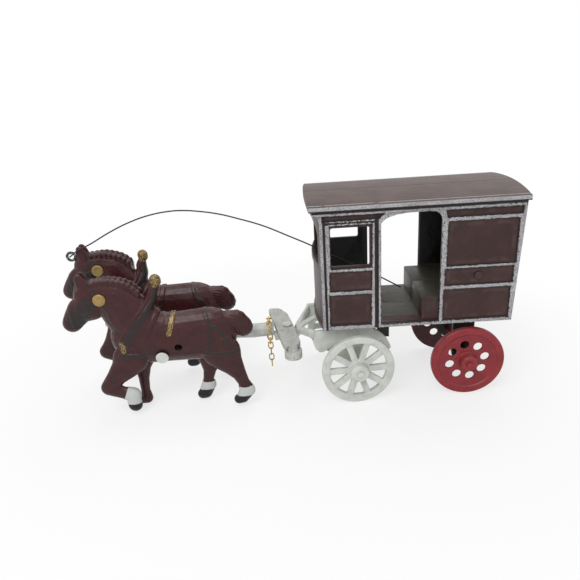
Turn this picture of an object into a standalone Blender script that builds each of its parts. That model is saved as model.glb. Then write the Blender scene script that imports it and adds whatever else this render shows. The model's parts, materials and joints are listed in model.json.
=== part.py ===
"""Cast iron toy wagon drawn by a pair of horses.

All sizes are in millimetres and become metres when a mesh is finished. The
wagon is measured from the bottom front edge of its body on the seam between
the two halves: +X runs to the rear, -Y is the near side, Z is up from the ground.
The front truck, the pole, the evener, the horses and the chain each have an
empty on their own pivot, and are measured from it.
"""
import math

import bmesh
import bpy
from mathutils import Matrix, Vector

MM = 0.001
GAP = 0.3
EMBED = 0.4
FRAME_X = 27.6
FRAME_Y = 0.0

# Body: two mirrored half castings that meet on a seam.
BODY_BOTTOM = 52.9
BODY_LENGTH = 122.1
BODY_HALF_WIDTH = 32.9
WALL = 2.2
FLOOR = 2.8
BEAD = 0.9
FRONT_BOW = 4.5
REAR_BOW = 1.9
REAR_LEAN = 0.051
ROOF_FRONT = -6.6
ROOF_REAR = 126.7
ROOF_BOW = 1.8
ROOF_CROWN = 138.1
ROOF_EAVE = 135.8
ROOF_THICKNESS = 2.8
ROOF_HALF_WIDTH = 36.6
CORNICE_HALF_WIDTH = 34.5
CORNICE_FRONT = -4.7
CORNICE_REAR = 125.3
CORNICE_BOTTOM = ROOF_EAVE - 5.8
DOOR_FRONT = 37.5
DOOR_REAR = 74.9
SILL_TOP = 55.6
WAIST = 94.3
WINDOW_FRONT = 5.9
WINDOW_REAR = 32.0
WINDOW_TOP = CORNICE_BOTTOM - 6.9
FRONT_WINDOW_HALF_WIDTH = 27.0
FRONT_WINDOW_BOTTOM = 97.0
SEAT_FRONT = 64.3
SEAT_REAR = 90.0
SEAT_TOP = 71.0
SEAT_BOARD = 2.4
TIE_X = 99.2
TIE_Z = 85.2
TIE_RADIUS = 1.8
TIE_HEAD_RADIUS = 2.7
TIE_HEAD = 0.7

# Wheels and axles.
WHEEL_RADIUS = 24.35
AXLE_RADIUS = 1.5
AXLE_HEAD_RADIUS = 2.2
AXLE_HEAD = 0.5
WHEEL_FACE = 34.25
FRONT_WHEEL_FACE = 38.0
RIM_WIDTH = 4.0
FRONT_RIM = 5.0
FRONT_HUB_RADIUS = 6.2
FRONT_HUB_FACE = FRONT_WHEEL_FACE + 5.35
SPOKES = 10
SPOKE_WIDTH = 4.0
SPOKE_THICKNESS = 2.6
REAR_RIM = 4.5
REAR_HUB_RADIUS = 5.5
REAR_HUB_FACE = WHEEL_FACE + 4.65
REAR_HOLES = 8
REAR_HOLE_RADIUS = 3.0
REAR_HOLE_TURN = 11.0
REAR_HOLE_CIRCLE = 11.85
WHEEL_STEPS = 24
REAR_AXLE_X = 95.3
LUG_OUTER = 21.0
LUG_THICKNESS = 3.0
LUG_RADIUS = 7.2
STOP_FRONT = 37.4
STOP_REAR = 47.6
STOP_BOTTOM = 31.0
STOP_HALF_WIDTH = 4.0

# Front truck, turned a little on its king pin.
KING_X = 18.3
KING_RADIUS = 2.4
KING_HEAD_RADIUS = 4.2
KING_HEAD = 1.4
TRUCK_YAW = 5.5
TRUCK_HALF_WIDTH = 24.5
TRUCK_PLATE = 3.2
ARCH_RADIUS = 26.7
ARCH_BAND = 7.0
TURNTABLE_RADIUS = 11.0
PLATE_HALF_LENGTH = 14.0
PLATE_BOTTOM = 48.4
PLATE_TOP = 51.0

# Tongue, evener and pole, stacked on one rivet ahead of the king pin.
RIVET_REACH = 43.0
RIVET_RADIUS = 1.5
RIVET_HEAD_RADIUS = 3.2
RIVET_HEAD = 1.2
EVENER_YAW = 5.5
EVENER_THICKNESS = 4.2
EVENER_HALF_LENGTH = 33.0
EVENER_FRONT = -8.0
EVENER_REAR = 4.4
TONGUE_THICKNESS = 2.7
POLE_YAW = -3.5
POLE_EYE_RADIUS = 5.2
POLE_EYE = 2.6
POLE_START = 9.6
POLE_LIFT = 42.9
POLE_DEPTH = 4.6
STACK_BOTTOM = 34.5
TONGUE_BOTTOM = STACK_BOTTOM + POLE_EYE + GAP
EVENER_BOTTOM = TONGUE_BOTTOM + TONGUE_THICKNESS + GAP
STACK_TOP = EVENER_BOTTOM + EVENER_THICKNESS

# Horses: one pair of half castings, used twice on a slanting cross rod.
HORSE_OFFSET = 22.0
FRONT_HOLE = (-83.7, 44.6)
REAR_HOLE = (-72.1, 49.1)
HOLE_RADIUS = 2.5
ROD_RADIUS = 1.0
ROD_HEAD_RADIUS = 4.2
ROD_HEAD = 1.0
ROD_SEAT = 8.4
ROD_TILT_ROOM = 2.3
FAR_ROD = (-85.5, 51.6)
FAR_PITCH = 2.8
LEG_OFFSET = 6.0
ROSETTE = (-117.8, 85.1)
ROSETTE_RADIUS = 4.1
ROSETTE_SEAT = 5.5
HEAD_RIVET_RADIUS = 1.2
FOREHEAD = (-126.5, 86.5, 9.0)
HORSE_VOXEL = 0.9
HORSE_TRIANGLES = 1700

# Chain and rein.
LINK_LENGTH = 7.0
LINK_WIDTH = 4.4
LINK_WIRE = 1.05
LINK_PITCH = LINK_LENGTH - 2 * LINK_WIRE - GAP
LOOP_LINKS = 12
HANGING_LINKS = 3
LOOP_PLACE = POLE_START + 3.0
REIN_RADIUS = 0.48
BRIDLE_RADIUS = 2.8
BRIDLE_WIRE = 0.8
LOOP_ANGLE = 142.5
WIRE_STEPS = 2


def clear_scene():
    """Removes whatever the file already holds."""
    for obj in list(bpy.data.objects):
        bpy.data.objects.remove(obj, do_unlink=True)
    for mesh in list(bpy.data.meshes):
        bpy.data.meshes.remove(mesh)


def paint(name, colour, metallic, roughness):
    """A Principled material of one colour."""
    material = bpy.data.materials.new(name)
    material.use_nodes = True
    shader = material.node_tree.nodes["Principled BSDF"]
    shader.inputs["Base Color"].default_value = (*colour, 1.0)
    shader.inputs["Metallic"].default_value = metallic
    shader.inputs["Roughness"].default_value = roughness
    material.diffuse_color = (*colour, 1.0)
    return material


def arc(centre, radius, start, end, count):
    """Points on an arc, angles in degrees."""
    points = []
    for i in range(count):
        angle = math.radians(start + (end - start) * i / (count - 1))
        points.append((centre[0] + radius * math.cos(angle), centre[1] + radius * math.sin(angle)))
    return points


def circle(centre, radius, count):
    """Points round a whole circle."""
    return arc(centre, radius, 0.0, 360.0 * (count - 1) / count, count)


def rounded_rectangle(left, right, low, high, radius=1.2):
    """A rectangle whose corners are short arcs."""
    points = arc((right - radius, high - radius), radius, 0, 90, 3)
    points += arc((left + radius, high - radius), radius, 90, 180, 3)
    points += arc((left + radius, low + radius), radius, 180, 270, 3)
    points += arc((right - radius, low + radius), radius, 270, 360, 3)
    return points


def on_axis(axis, first, second, along):
    """A point from two coordinates in a plane and one along its normal."""
    if axis == "X":
        return Vector((along, first, second))
    if axis == "Y":
        return Vector((first, along, second))
    return Vector((first, second, along))


def prism(axis, outline, low, high, holes=()):
    """A flat outline, with any holes, given a thickness along one axis."""
    bm = bmesh.new()
    edges = []
    for loop in (outline, *holes):
        verts = [bm.verts.new(on_axis(axis, a, b, low)) for a, b in loop]
        edges += [bm.edges.new((verts[i - 1], verts[i])) for i in range(len(verts))]
    filled = bmesh.ops.triangle_fill(bm, edges=edges, use_beauty=True)
    faces = [item for item in filled["geom"] if isinstance(item, bmesh.types.BMFace)]
    grown = bmesh.ops.extrude_face_region(bm, geom=faces, use_keep_orig=True)
    moved = [item for item in grown["geom"] if isinstance(item, bmesh.types.BMVert)]
    bmesh.ops.translate(bm, verts=moved, vec=on_axis(axis, 0, 0, high - low))
    bmesh.ops.recalc_face_normals(bm, faces=bm.faces)
    return bm


def box(x0, x1, y0, y1, z0, z1):
    """A plain block between two corners."""
    return prism("Z", [(x0, y0), (x1, y0), (x1, y1), (x0, y1)], z0, z1)


def rod(axis, centre, radius, low, high, count=16):
    """A round bar along one axis."""
    return prism(axis, circle(centre, radius, count), low, high)


def lathe(axis, centre, profile, steps):
    """A closed outline of (radius, along) points turned round an axis."""
    bm = bmesh.new()
    rings = []
    for i in range(steps):
        turn = 2 * math.pi * i / steps
        ring = []
        for radius, along in profile:
            place = (centre[0] + radius * math.cos(turn), centre[1] + radius * math.sin(turn))
            ring.append(bm.verts.new(on_axis(axis, *place, along)))
        rings.append(ring)
    count = len(profile)
    for i in range(steps):
        here, before = rings[i], rings[i - 1]
        for j in range(count):
            bm.faces.new((before[j - 1], before[j], here[j], here[j - 1]))
    bmesh.ops.recalc_face_normals(bm, faces=bm.faces)
    return bm


def bar(stations, sides=8):
    """A bar through (x, y, z, half width, half height) stations, with flat ends."""
    bm = bmesh.new()
    rings = []
    grow = 1 / math.cos(math.pi / sides)
    last = len(stations) - 1
    for i, station in enumerate(stations):
        before = Vector(stations[max(i - 1, 0)][:3])
        after = Vector(stations[min(i + 1, last)][:3])
        along = (after - before).normalized()
        side = along.cross(Vector((0, 0, 1))).normalized()
        up = side.cross(along)
        ring = []
        for k in range(sides):
            turn = 2 * math.pi * (k + 0.5) / sides
            wide = side * (math.cos(turn) * station[3] * grow)
            high = up * (math.sin(turn) * station[4] * grow)
            ring.append(bm.verts.new(Vector(station[:3]) + wide + high))
        rings.append(ring)
    for here, there in zip(rings, rings[1:]):
        for k in range(sides):
            bm.faces.new((here[k - 1], here[k], there[k], there[k - 1]))
    bm.faces.new(rings[0])
    bm.faces.new(rings[-1])
    bmesh.ops.recalc_face_normals(bm, faces=bm.faces)
    return bm


def helper_object(bm):
    """A short-lived object that carries modifiers."""
    mesh = bpy.data.meshes.new("helper")
    bm.to_mesh(mesh)
    obj = bpy.data.objects.new("helper", mesh)
    bpy.context.scene.collection.objects.link(obj)
    return obj


def drop_helper(obj):
    """Removes a helper object and its mesh."""
    mesh = obj.data
    bpy.data.objects.remove(obj, do_unlink=True)
    bpy.data.meshes.remove(mesh)


def evaluated(obj):
    """The mesh of an object after its modifiers."""
    bpy.context.view_layer.update()
    bm = bmesh.new()
    bm.from_object(obj, bpy.context.evaluated_depsgraph_get())
    return bm


def boolean(base, tool, operation):
    """Joins or cuts one closed mesh by another."""
    first = helper_object(base)
    second = helper_object(tool)
    modifier = first.modifiers.new("Boolean", "BOOLEAN")
    modifier.operation = operation
    modifier.object = second
    result = evaluated(first)
    drop_helper(first)
    drop_helper(second)
    base.free()
    tool.free()
    return result


def joined(pieces):
    """One body from overlapping pieces."""
    whole = pieces[0]
    for piece in pieces[1:]:
        whole = boolean(whole, piece, "UNION")
    return whole


def cut(base, tools):
    """A body less each of the tools."""
    for tool in tools:
        base = boolean(base, tool, "DIFFERENCE")
    return base


def add_to(bm, piece):
    """Adds one mesh to another without joining them."""
    mesh = bpy.data.meshes.new("piece")
    piece.to_mesh(mesh)
    bm.from_mesh(mesh)
    bpy.data.meshes.remove(mesh)
    piece.free()


def tidy(bm):
    """Merges points that a cut left on top of each other."""
    bmesh.ops.remove_doubles(bm, verts=bm.verts, dist=0.01)
    bmesh.ops.dissolve_degenerate(bm, dist=0.005, edges=bm.edges)
    bmesh.ops.dissolve_limit(bm, angle_limit=math.radians(0.3), verts=bm.verts, edges=bm.edges)
    bmesh.ops.triangulate(bm, faces=bm.faces)
    return bm


def mirrored(bm, axis=1):
    """A mirror image across the plane where one coordinate is zero."""
    copy = bm.copy()
    for vert in copy.verts:
        vert.co[axis] = -vert.co[axis]
    bmesh.ops.reverse_faces(copy, faces=copy.faces)
    return copy


def empty(name, parent, place, yaw=0.0, pitch=0.0):
    """A pivot, placed in its parent's frame in millimetres and degrees."""
    obj = bpy.data.objects.new(name, None)
    bpy.context.scene.collection.objects.link(obj)
    obj.parent = parent
    obj.location = Vector(place) * MM
    obj.rotation_euler = (0.0, math.radians(pitch), math.radians(yaw))
    return obj


def finished(name, bm, material, parent, place=(0, 0, 0), turn=(0, 0, 0), smooth=35.0):
    """A named object whose mesh is scaled to metres."""
    mesh = bpy.data.meshes.new(name)
    bmesh.ops.scale(bm, vec=(MM, MM, MM), verts=bm.verts)
    bm.to_mesh(mesh)
    bm.free()
    mesh.materials.append(material)
    mesh.shade_smooth()
    mesh.set_sharp_from_angle(angle=math.radians(smooth))
    return placed(name, mesh, parent, place, turn)


def placed(name, mesh, parent, place=(0, 0, 0), turn=(0, 0, 0)):
    """An object for a mesh that may be shared with another."""
    obj = bpy.data.objects.new(name, mesh)
    bpy.context.scene.collection.objects.link(obj)
    obj.parent = parent
    obj.location = Vector(place) * MM
    obj.rotation_euler = [math.radians(angle) for angle in turn]
    return obj


def bulge(y, half_width):
    """One on the seam, falling to zero at the side."""
    return 1.0 - (y / half_width) ** 2


def roof_top(y):
    """Height of the roof at a distance from the seam."""
    return ROOF_EAVE + (ROOF_CROWN - ROOF_EAVE) * bulge(y, ROOF_HALF_WIDTH)


def roof_under(y):
    """Height of the underside of the roof."""
    return roof_top(y) - ROOF_THICKNESS


def across(start, end, count):
    """Evenly spaced values from start to end."""
    return [start + (end - start) * i / (count - 1) for i in range(count)]


def below(drop):
    """Height that far below the cornice."""
    return CORNICE_BOTTOM - drop


def door_outline(grow):
    """The doorway with its flat arched head."""
    front, rear = DOOR_FRONT - grow, DOOR_REAR + grow
    head = [(rear, 6.5), (rear - 1.3, 3.3 - grow), (rear - 3.7 - grow, 1.6 - grow)]
    head += [(66.9, 1.0 - grow), (53.7, 1.2 - grow), (47.4, 2.0 - grow), (42.2, 3.4 - grow)]
    head += [(front + 1.9, 5.0 - grow), (front, 7.0)]
    points = [(front, SILL_TOP - grow), (rear, SILL_TOP - grow)]
    return points + [(x, below(drop)) for x, drop in head]


def side_wall():
    """Near wall with its raised network of beads round sunk panels."""
    outer = -BODY_HALF_WIDTH
    top = roof_under(BODY_HALF_WIDTH) + EMBED
    lean = (top - BODY_BOTTOM) * REAR_LEAN
    low = BODY_BOTTOM + 0.3
    plate = [(0.3, low), (BODY_LENGTH - 0.4, low), (BODY_LENGTH - 0.4 + lean, top), (0.3, top)]
    opening = rounded_rectangle(WINDOW_FRONT + 0.4, WINDOW_REAR - 1.5, WAIST + 2.0, WINDOW_TOP - 1.6)
    face = outer + BEAD
    wall = prism("Y", plate, face, face + WALL, [opening, door_outline(0.4)])
    high = CORNICE_BOTTOM + EMBED
    lean = (high - BODY_BOTTOM) * REAR_LEAN
    net = [(-0.2, BODY_BOTTOM), (BODY_LENGTH, BODY_BOTTOM), (BODY_LENGTH + lean, high)]
    net += [(-1.8, high), (-0.4, below(5.0))]
    grooves = [(x, 54.5 + (x > 30) * 2, x + width) for x, width in ((1.7, 0.9), (34.7, 1.3))]
    panels = [
        rounded_rectangle(WINDOW_FRONT, WINDOW_REAR, WAIST + 0.7, WINDOW_TOP),
        door_outline(0.0),
        rounded_rectangle(5.0, 31.7, 79.7, 92.9),
        rounded_rectangle(4.5, 31.3, 56.5, 77.2),
        *[[(x, low), (end, low), (end, below(7.5)), (x, below(7.5))] for x, low, end in grooves],
        [(0.6, below(4.4)), (36.6, below(3.4)), (40.4, below(0.8)), (-0.6, below(0.8))],
        rounded_rectangle(78.5, 122.0, 92.6, below(8.3)),
        rounded_rectangle(77.7, 120.8, 79.5, 90.8),
        rounded_rectangle(77.2, 119.8, 56.0, 76.9),
        [(77.8, below(5.8)), (123.8, below(5.8)), (124.1, below(1.1)), (76.6, below(1.1))],
    ]
    return [wall, prism("Y", net, outer, face + EMBED, panels)]


def bowed(bm, offset, bow, lean):
    """Bends a flat end wall forward or back on the seam, after slicing it."""
    for y in across(-28.0, -4.0, 5):
        geometry = list(bm.verts) + list(bm.edges) + list(bm.faces)
        bmesh.ops.bisect_plane(bm, geom=geometry, plane_co=(0, y, 0), plane_no=(0, 1, 0))
    for vert in bm.verts:
        curve = bow * bulge(vert.co.y, BODY_HALF_WIDTH)
        vert.co.x += offset + curve + lean * (vert.co.z - BODY_BOTTOM)
    bmesh.ops.triangulate(bm, faces=bm.faces)
    return bm


def end_outline(inset, low):
    """Half of an end wall seen from the front, carried past the seam."""
    edge = BODY_HALF_WIDTH - inset
    points = [(2.0, low), (-edge, low)]
    points += [(y, roof_under(y) + EMBED) for y in across(-edge, 2.0, 5)]
    return points


def front_window(grow):
    """Arched opening over the dashboard, carried past the seam."""
    side = FRONT_WINDOW_HALF_WIDTH + grow
    points = [(4.0, FRONT_WINDOW_BOTTOM - grow), (-side, FRONT_WINDOW_BOTTOM - grow), (-side, below(13.5))]
    points += [(-24.5 - grow, below(10.0 - grow)), (-17.0, below(7.1 - grow))]
    return points + [(-8.0, below(5.6 - grow)), (4.0, below(5.2 - grow))]


def front_wall():
    """Bowed front with a low panel under the arched window."""
    plain = prism("X", end_outline(0.5, BODY_BOTTOM + 0.3), 0.0, WALL)
    beads = prism("X", end_outline(0.2, BODY_BOTTOM), 0.0, BEAD + EMBED)
    panel = prism("X", rounded_rectangle(-29.8, 4.0, 56.0, 93.6), -1.0, 3.0)
    plain = cut(plain, [prism("X", front_window(0.4), -1.0, 3.0)])
    beads = cut(beads, [panel, prism("X", front_window(0.0), -1.0, 3.0)])
    return [bowed(plain, BEAD, -FRONT_BOW, 0.0), bowed(beads, 0.0, -FRONT_BOW, 0.0)]


def rear_wall():
    """Leaning rear wall with an upper and a lower panel."""
    plain = prism("X", end_outline(0.5, BODY_BOTTOM + 0.3), -WALL, 0.0)
    beads = prism("X", end_outline(0.2, BODY_BOTTOM), -BEAD - EMBED, 0.0)
    lower = prism("X", rounded_rectangle(-29.8, 4.0, 56.0, 90.8), -3.0, 1.0)
    upper = prism("X", rounded_rectangle(-29.8, 4.0, 93.6, below(3.5)), -3.0, 1.0)
    beads = cut(beads, [lower, upper])
    plain = bowed(plain, BODY_LENGTH - BEAD, REAR_BOW, REAR_LEAN)
    return [plain, bowed(beads, BODY_LENGTH, REAR_BOW, REAR_LEAN)]


def floor_plate():
    """Floor that follows the bowed front and rear."""
    ends = across(-BODY_HALF_WIDTH + 1.5, 2.0, 6)
    front = [(1.2 - FRONT_BOW * bulge(y, BODY_HALF_WIDTH), y) for y in ends]
    rear = [(BODY_LENGTH - 1.2 + REAR_BOW * bulge(y, BODY_HALF_WIDTH), y) for y in reversed(ends)]
    return prism("Z", front + rear, BODY_BOTTOM + 0.2, BODY_BOTTOM + FLOOR)


def roof_shell():
    """Low crowned roof with a bowed front and rear edge."""
    bm = bmesh.new()
    rings = []
    for y in across(-ROOF_HALF_WIDTH, 2.0, 9):
        front = ROOF_FRONT - ROOF_BOW * bulge(y, ROOF_HALF_WIDTH)
        rear = ROOF_REAR + ROOF_BOW * bulge(y, ROOF_HALF_WIDTH)
        corners = [(front, roof_under(y)), (rear, roof_under(y)), (rear, roof_top(y)), (front, roof_top(y))]
        rings.append([bm.verts.new((x, y, z)) for x, z in corners])
    for here, there in zip(rings, rings[1:]):
        for k in range(4):
            bm.faces.new((here[k - 1], here[k], there[k], there[k - 1]))
    bm.faces.new(rings[0])
    bm.faces.new(rings[-1])
    bmesh.ops.recalc_face_normals(bm, faces=bm.faces)
    return bm


def cornice():
    """Second moulding under the eave, round three sides of the half."""
    outer = across(2.0, -CORNICE_HALF_WIDTH, 6)
    inner = across(-CORNICE_HALF_WIDTH + 3.4, 2.0, 6)
    front = [(CORNICE_FRONT - ROOF_BOW * bulge(y, CORNICE_HALF_WIDTH), y) for y in outer]
    rear = [(CORNICE_REAR + ROOF_BOW * bulge(y, CORNICE_HALF_WIDTH), y) for y in reversed(outer)]
    inside = [(CORNICE_REAR - 3.4 + REAR_BOW * bulge(y, CORNICE_HALF_WIDTH), y) for y in reversed(inner)]
    inside += [(CORNICE_FRONT + 6.6 - FRONT_BOW * bulge(y, CORNICE_HALF_WIDTH), y) for y in inner]
    return prism("Z", front + rear + inside, CORNICE_BOTTOM, roof_under(CORNICE_HALF_WIDTH) + EMBED)


def seat():
    """Bench across the body: a front board, a seat board and an end that closes it in the doorway."""
    reach = -BODY_HALF_WIDTH + BEAD + WALL - EMBED
    low = BODY_BOTTOM + FLOOR - EMBED
    front = box(SEAT_FRONT, SEAT_FRONT + SEAT_BOARD, reach, 2.0, low, SEAT_TOP - 0.5)
    board = box(SEAT_FRONT + 0.3, SEAT_REAR, reach, 2.0, SEAT_TOP - SEAT_BOARD, SEAT_TOP)
    end = box(SEAT_FRONT + 0.4, SEAT_REAR - 0.3, reach + 0.2, reach + SEAT_BOARD, low, SEAT_TOP - 0.7)
    return [front, board, end]


def rear_lug():
    """Lug that hangs from the floor and carries the rear axle."""
    top = BODY_BOTTOM + FLOOR - EMBED
    outline = [(REAR_AXLE_X + LUG_RADIUS, top), (REAR_AXLE_X - LUG_RADIUS, top)]
    outline += arc((REAR_AXLE_X, WHEEL_RADIUS), LUG_RADIUS, 180, 360, 9)
    return prism("Y", outline, -LUG_OUTER, -LUG_OUTER + LUG_THICKNESS)


def stop_lug():
    """Tapered stop behind the front truck."""
    top = BODY_BOTTOM + FLOOR - EMBED
    outline = [(STOP_FRONT, top), (STOP_FRONT + 3.0, STOP_BOTTOM), (STOP_REAR, STOP_BOTTOM), (STOP_REAR, top)]
    return prism("Y", outline, -STOP_HALF_WIDTH, 2.0)


def body_half():
    """Near half of the wagon body, cut back from the seam."""
    pieces = side_wall() + front_wall() + rear_wall() + [floor_plate(), roof_shell(), cornice()]
    pieces += seat() + [rear_lug(), stop_lug()]
    half = joined(pieces)
    axle_bore = rod("Y", (REAR_AXLE_X, WHEEL_RADIUS), AXLE_RADIUS + GAP, -LUG_OUTER - 2, -10)
    king_bore = rod("Z", (KING_X, 0.0), KING_RADIUS + GAP, BODY_BOTTOM - 3, BODY_BOTTOM + FLOOR + 3)
    tie_bore = rod("Y", (TIE_X, TIE_Z), TIE_RADIUS + GAP, -BODY_HALF_WIDTH - 3, -25)
    past_seam = box(-30, BODY_LENGTH + 30, -GAP / 2, 20, 0, ROOF_CROWN + 20)
    return tidy(cut(half, [axle_bore, king_bore, tie_bore, past_seam]))


def headed_pin(axis, centre, radius, low, high, head_radius, head):
    """A pin with a flat head at each end, outside the two given heights."""
    shank = rod(axis, centre, radius, low - head / 2, high + head / 2, 14)
    first = rod(axis, centre, head_radius, low - head, low, 14)
    second = rod(axis, centre, head_radius, high, high + head, 14)
    return joined([shank, first, second])


def front_wheel():
    """Spoked wheel, axis on Y through the origin, outer face towards -Y."""
    face, back = 0.0, RIM_WIDTH
    inner = WHEEL_RADIUS - FRONT_RIM
    web = (RIM_WIDTH - SPOKE_THICKNESS) / 2 + 0.3
    hub = FRONT_WHEEL_FACE - FRONT_HUB_FACE
    hub_back = FRONT_WHEEL_FACE - TRUCK_HALF_WIDTH - GAP
    bore = AXLE_RADIUS + GAP
    profile = [(bore, hub), (FRONT_HUB_RADIUS - 0.8, hub), (FRONT_HUB_RADIUS, hub + 0.9)]
    profile += [(FRONT_HUB_RADIUS + 0.3, web), (inner, web), (inner + 0.4, face), (WHEEL_RADIUS - 0.5, face)]
    profile += [(WHEEL_RADIUS, face + 0.5), (WHEEL_RADIUS, back), (inner, back)]
    profile += [(inner - 0.3, web + SPOKE_THICKNESS), (FRONT_HUB_RADIUS, web + SPOKE_THICKNESS)]
    profile += [(FRONT_HUB_RADIUS - 1.6, hub_back), (bore, hub_back)]
    wheel = lathe("Y", (0, 0), profile, WHEEL_STEPS)
    near, far = FRONT_HUB_RADIUS + 1.1, inner - 0.2
    gaps = bmesh.new()
    for i in range(SPOKES):
        turn = 2 * math.pi * (i + 0.5) / SPOKES
        pitch = math.pi / SPOKES
        wide = pitch - math.asin((SPOKE_WIDTH * 0.62) / far)
        narrow = max(pitch - math.asin((SPOKE_WIDTH * 0.44) / near), 0.04)
        corners = [(near, -narrow), (far - 0.9, -wide), (far, -wide * 0.72), (far, wide * 0.72)]
        corners += [(far - 0.9, wide), (near, narrow)]
        outline = [(r * math.cos(turn + a), r * math.sin(turn + a)) for r, a in corners]
        wedge = prism("Y", outline, -2.0, RIM_WIDTH + 2.0)
        add_to(gaps, wedge)
    return tidy(boolean(wheel, gaps, "DIFFERENCE"))


def rear_wheel():
    """Disc wheel with a stepped face and a ring of round holes."""
    face, back = 0.0, RIM_WIDTH
    inner = WHEEL_RADIUS - REAR_RIM
    hub = WHEEL_FACE - REAR_HUB_FACE
    hub_back = WHEEL_FACE - LUG_OUTER - GAP
    bore = AXLE_RADIUS + GAP
    profile = [(bore, hub), (REAR_HUB_RADIUS - 1.2, hub), (REAR_HUB_RADIUS, hub + 1.4)]
    profile += [(REAR_HUB_RADIUS + 0.6, 1.2), (inner - 2.6, 1.2), (inner - 0.8, 0.9), (inner, face)]
    profile += [(WHEEL_RADIUS - 0.5, face), (WHEEL_RADIUS, face + 0.5), (WHEEL_RADIUS, back)]
    profile += [(inner, back), (inner - 0.6, 3.4), (REAR_HUB_RADIUS - 1.0, 3.4)]
    profile += [(REAR_HUB_RADIUS - 1.6, hub_back), (bore, hub_back)]
    wheel = lathe("Y", (0, 0), profile, WHEEL_STEPS)
    holes = bmesh.new()
    for i in range(REAR_HOLES):
        turn = 2 * math.pi * i / REAR_HOLES + math.radians(REAR_HOLE_TURN)
        place = (REAR_HOLE_CIRCLE * math.cos(turn), REAR_HOLE_CIRCLE * math.sin(turn))
        hole = rod("Y", place, REAR_HOLE_RADIUS, -2.0, RIM_WIDTH + 2.0, 10)
        add_to(holes, hole)
    return tidy(boolean(wheel, holes, "DIFFERENCE"))


def arch_outline():
    """Side of the truck: a fender arch with a front lobe and a middle web."""
    centre = (0.0, WHEEL_RADIUS)
    inner = ARCH_RADIUS - ARCH_BAND
    lift = WHEEL_RADIUS
    points = [(-25.4, lift + 24.9), (-27.4, lift + 20.2), (-27.8, lift + 16.0), (-26.4, lift + 11.8)]
    points += [(-23.8, lift + 9.0), (-20.8, lift + 9.2), (-18.2, lift + 11.2)]
    points += arc(centre, inner, 144, 136, 2)
    points += [(-11.6, lift + 6.0), (-5.0, lift - 1.0)]
    points += arc(centre, 5.2, 200, 352, 7)
    points += [(6.6, lift + 5.0), (9.6, lift + 12.0)]
    points += arc(centre, inner, 52, 22, 4)
    points += [(21.4, lift + 6.0), (25.2, lift + 6.6)]
    points += arc(centre, ARCH_RADIUS, 20, 104, 8)
    points.append((-12.0, lift + 25.1))
    return points


def front_truck():
    """White casting that carries the front axle and reaches forward to the evener."""
    top = BODY_BOTTOM - GAP
    inside = TRUCK_HALF_WIDTH - TRUCK_PLATE
    pieces = [prism("Y", arch_outline(), -TRUCK_HALF_WIDTH, -inside)]
    plate = [(-PLATE_HALF_LENGTH, -inside - 1), (PLATE_HALF_LENGTH, -inside - 1)]
    plate += [(PLATE_HALF_LENGTH, inside + 1), (-PLATE_HALF_LENGTH, inside + 1)]
    pieces.append(prism("Z", plate, PLATE_BOTTOM, PLATE_TOP))
    pieces.append(prism("Y", arch_outline(), inside, TRUCK_HALF_WIDTH))
    pieces.append(rod("Z", (0, 0), TURNTABLE_RADIUS, PLATE_BOTTOM + 1, top, 20))
    high = TONGUE_BOTTOM + 3.4
    for side in (-1, 1):
        route = [(-24.4, inside + 1.7, 44.4, 1.4, 3.9), (-26.6, inside - 2.4, 44.6, 1.8, 3.6)]
        route += [(-29.6, 13.0, 43.8, 2.2, 3.0), (-33.0, 6.8, 42.4, 2.5, 2.5), (-35.2, 3.0, high, 2.6, 2.3)]
        pieces.append(bar([(x, side * y, z, w, h) for x, y, z, w, h in route]))
    spine = [(-12.0, 0.4, 49.6, 2.4, 1.2), (-23.0, 0.4, 48.6, 2.2, 1.5), (-30.0, 0.4, 45.2, 2.4, 1.7)]
    spine.append((-35.6, 0.4, high + 0.2, 2.6, 1.9))
    pieces.append(bar(spine))
    eye = arc((-RIVET_REACH, 0.0), 5.0, 90, 270, 9)
    tongue = eye + [(-RIVET_REACH + 8.0, -5.0), (-RIVET_REACH + 8.0, 5.0)]
    pieces.append(prism("Z", tongue, TONGUE_BOTTOM, TONGUE_BOTTOM + TONGUE_THICKNESS))
    truck = joined(pieces)
    bores = [rod("Y", (0, WHEEL_RADIUS), AXLE_RADIUS + GAP, -40, 40)]
    bores.append(rod("Z", (0, 0), KING_RADIUS + GAP, PLATE_BOTTOM - 3, top + 3))
    bores.append(rod("Z", (-RIVET_REACH, 0), RIVET_RADIUS + GAP, STACK_BOTTOM - 3, STACK_TOP + 3))
    return tidy(cut(truck, bores))


def evener():
    """Cross bar behind the horses, with a curled near end below its top."""
    front, rear, end = EVENER_FRONT, EVENER_REAR, EVENER_HALF_LENGTH
    outline = [(front, -end + 7.0), (front + 1.2, -end + 3.0), (rear - 4.0, -end + 2.0)]
    outline += [(rear - 0.6, -end + 7.0), (rear, -8.0), (rear, 8.0), (rear - 0.2, end - 13.0)]
    outline += [(rear - 3.6, end - 3.0), (rear - 6.0, end - 1.0), (front + 1.2, end)]
    outline += [(front, end - 2.0), (front, 8.0), (front, -8.0)]
    plate = prism("Z", outline, EVENER_BOTTOM, STACK_TOP)
    middle = ((front + rear) / 2 - 0.4, -end + 2.6)
    curl = rod("Z", middle, 5.9, EVENER_BOTTOM - 4.8, EVENER_BOTTOM + 0.8, 18)
    bore = rod("Z", (0, 0), RIVET_RADIUS + GAP, EVENER_BOTTOM - 5, STACK_TOP + 5)
    return tidy(cut(joined([plate, curl]), [bore]))


def rod_point(offset):
    """Centre of the cross rod at a distance from the pole, in the pole's frame."""
    share = (offset + HORSE_OFFSET) / (2 * HORSE_OFFSET)
    along = FRONT_HOLE[0] + (FAR_ROD[0] - FRONT_HOLE[0]) * share
    height = FRONT_HOLE[1] + (FAR_ROD[1] - FRONT_HOLE[1]) * share
    return Vector((along, offset, height))


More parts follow.
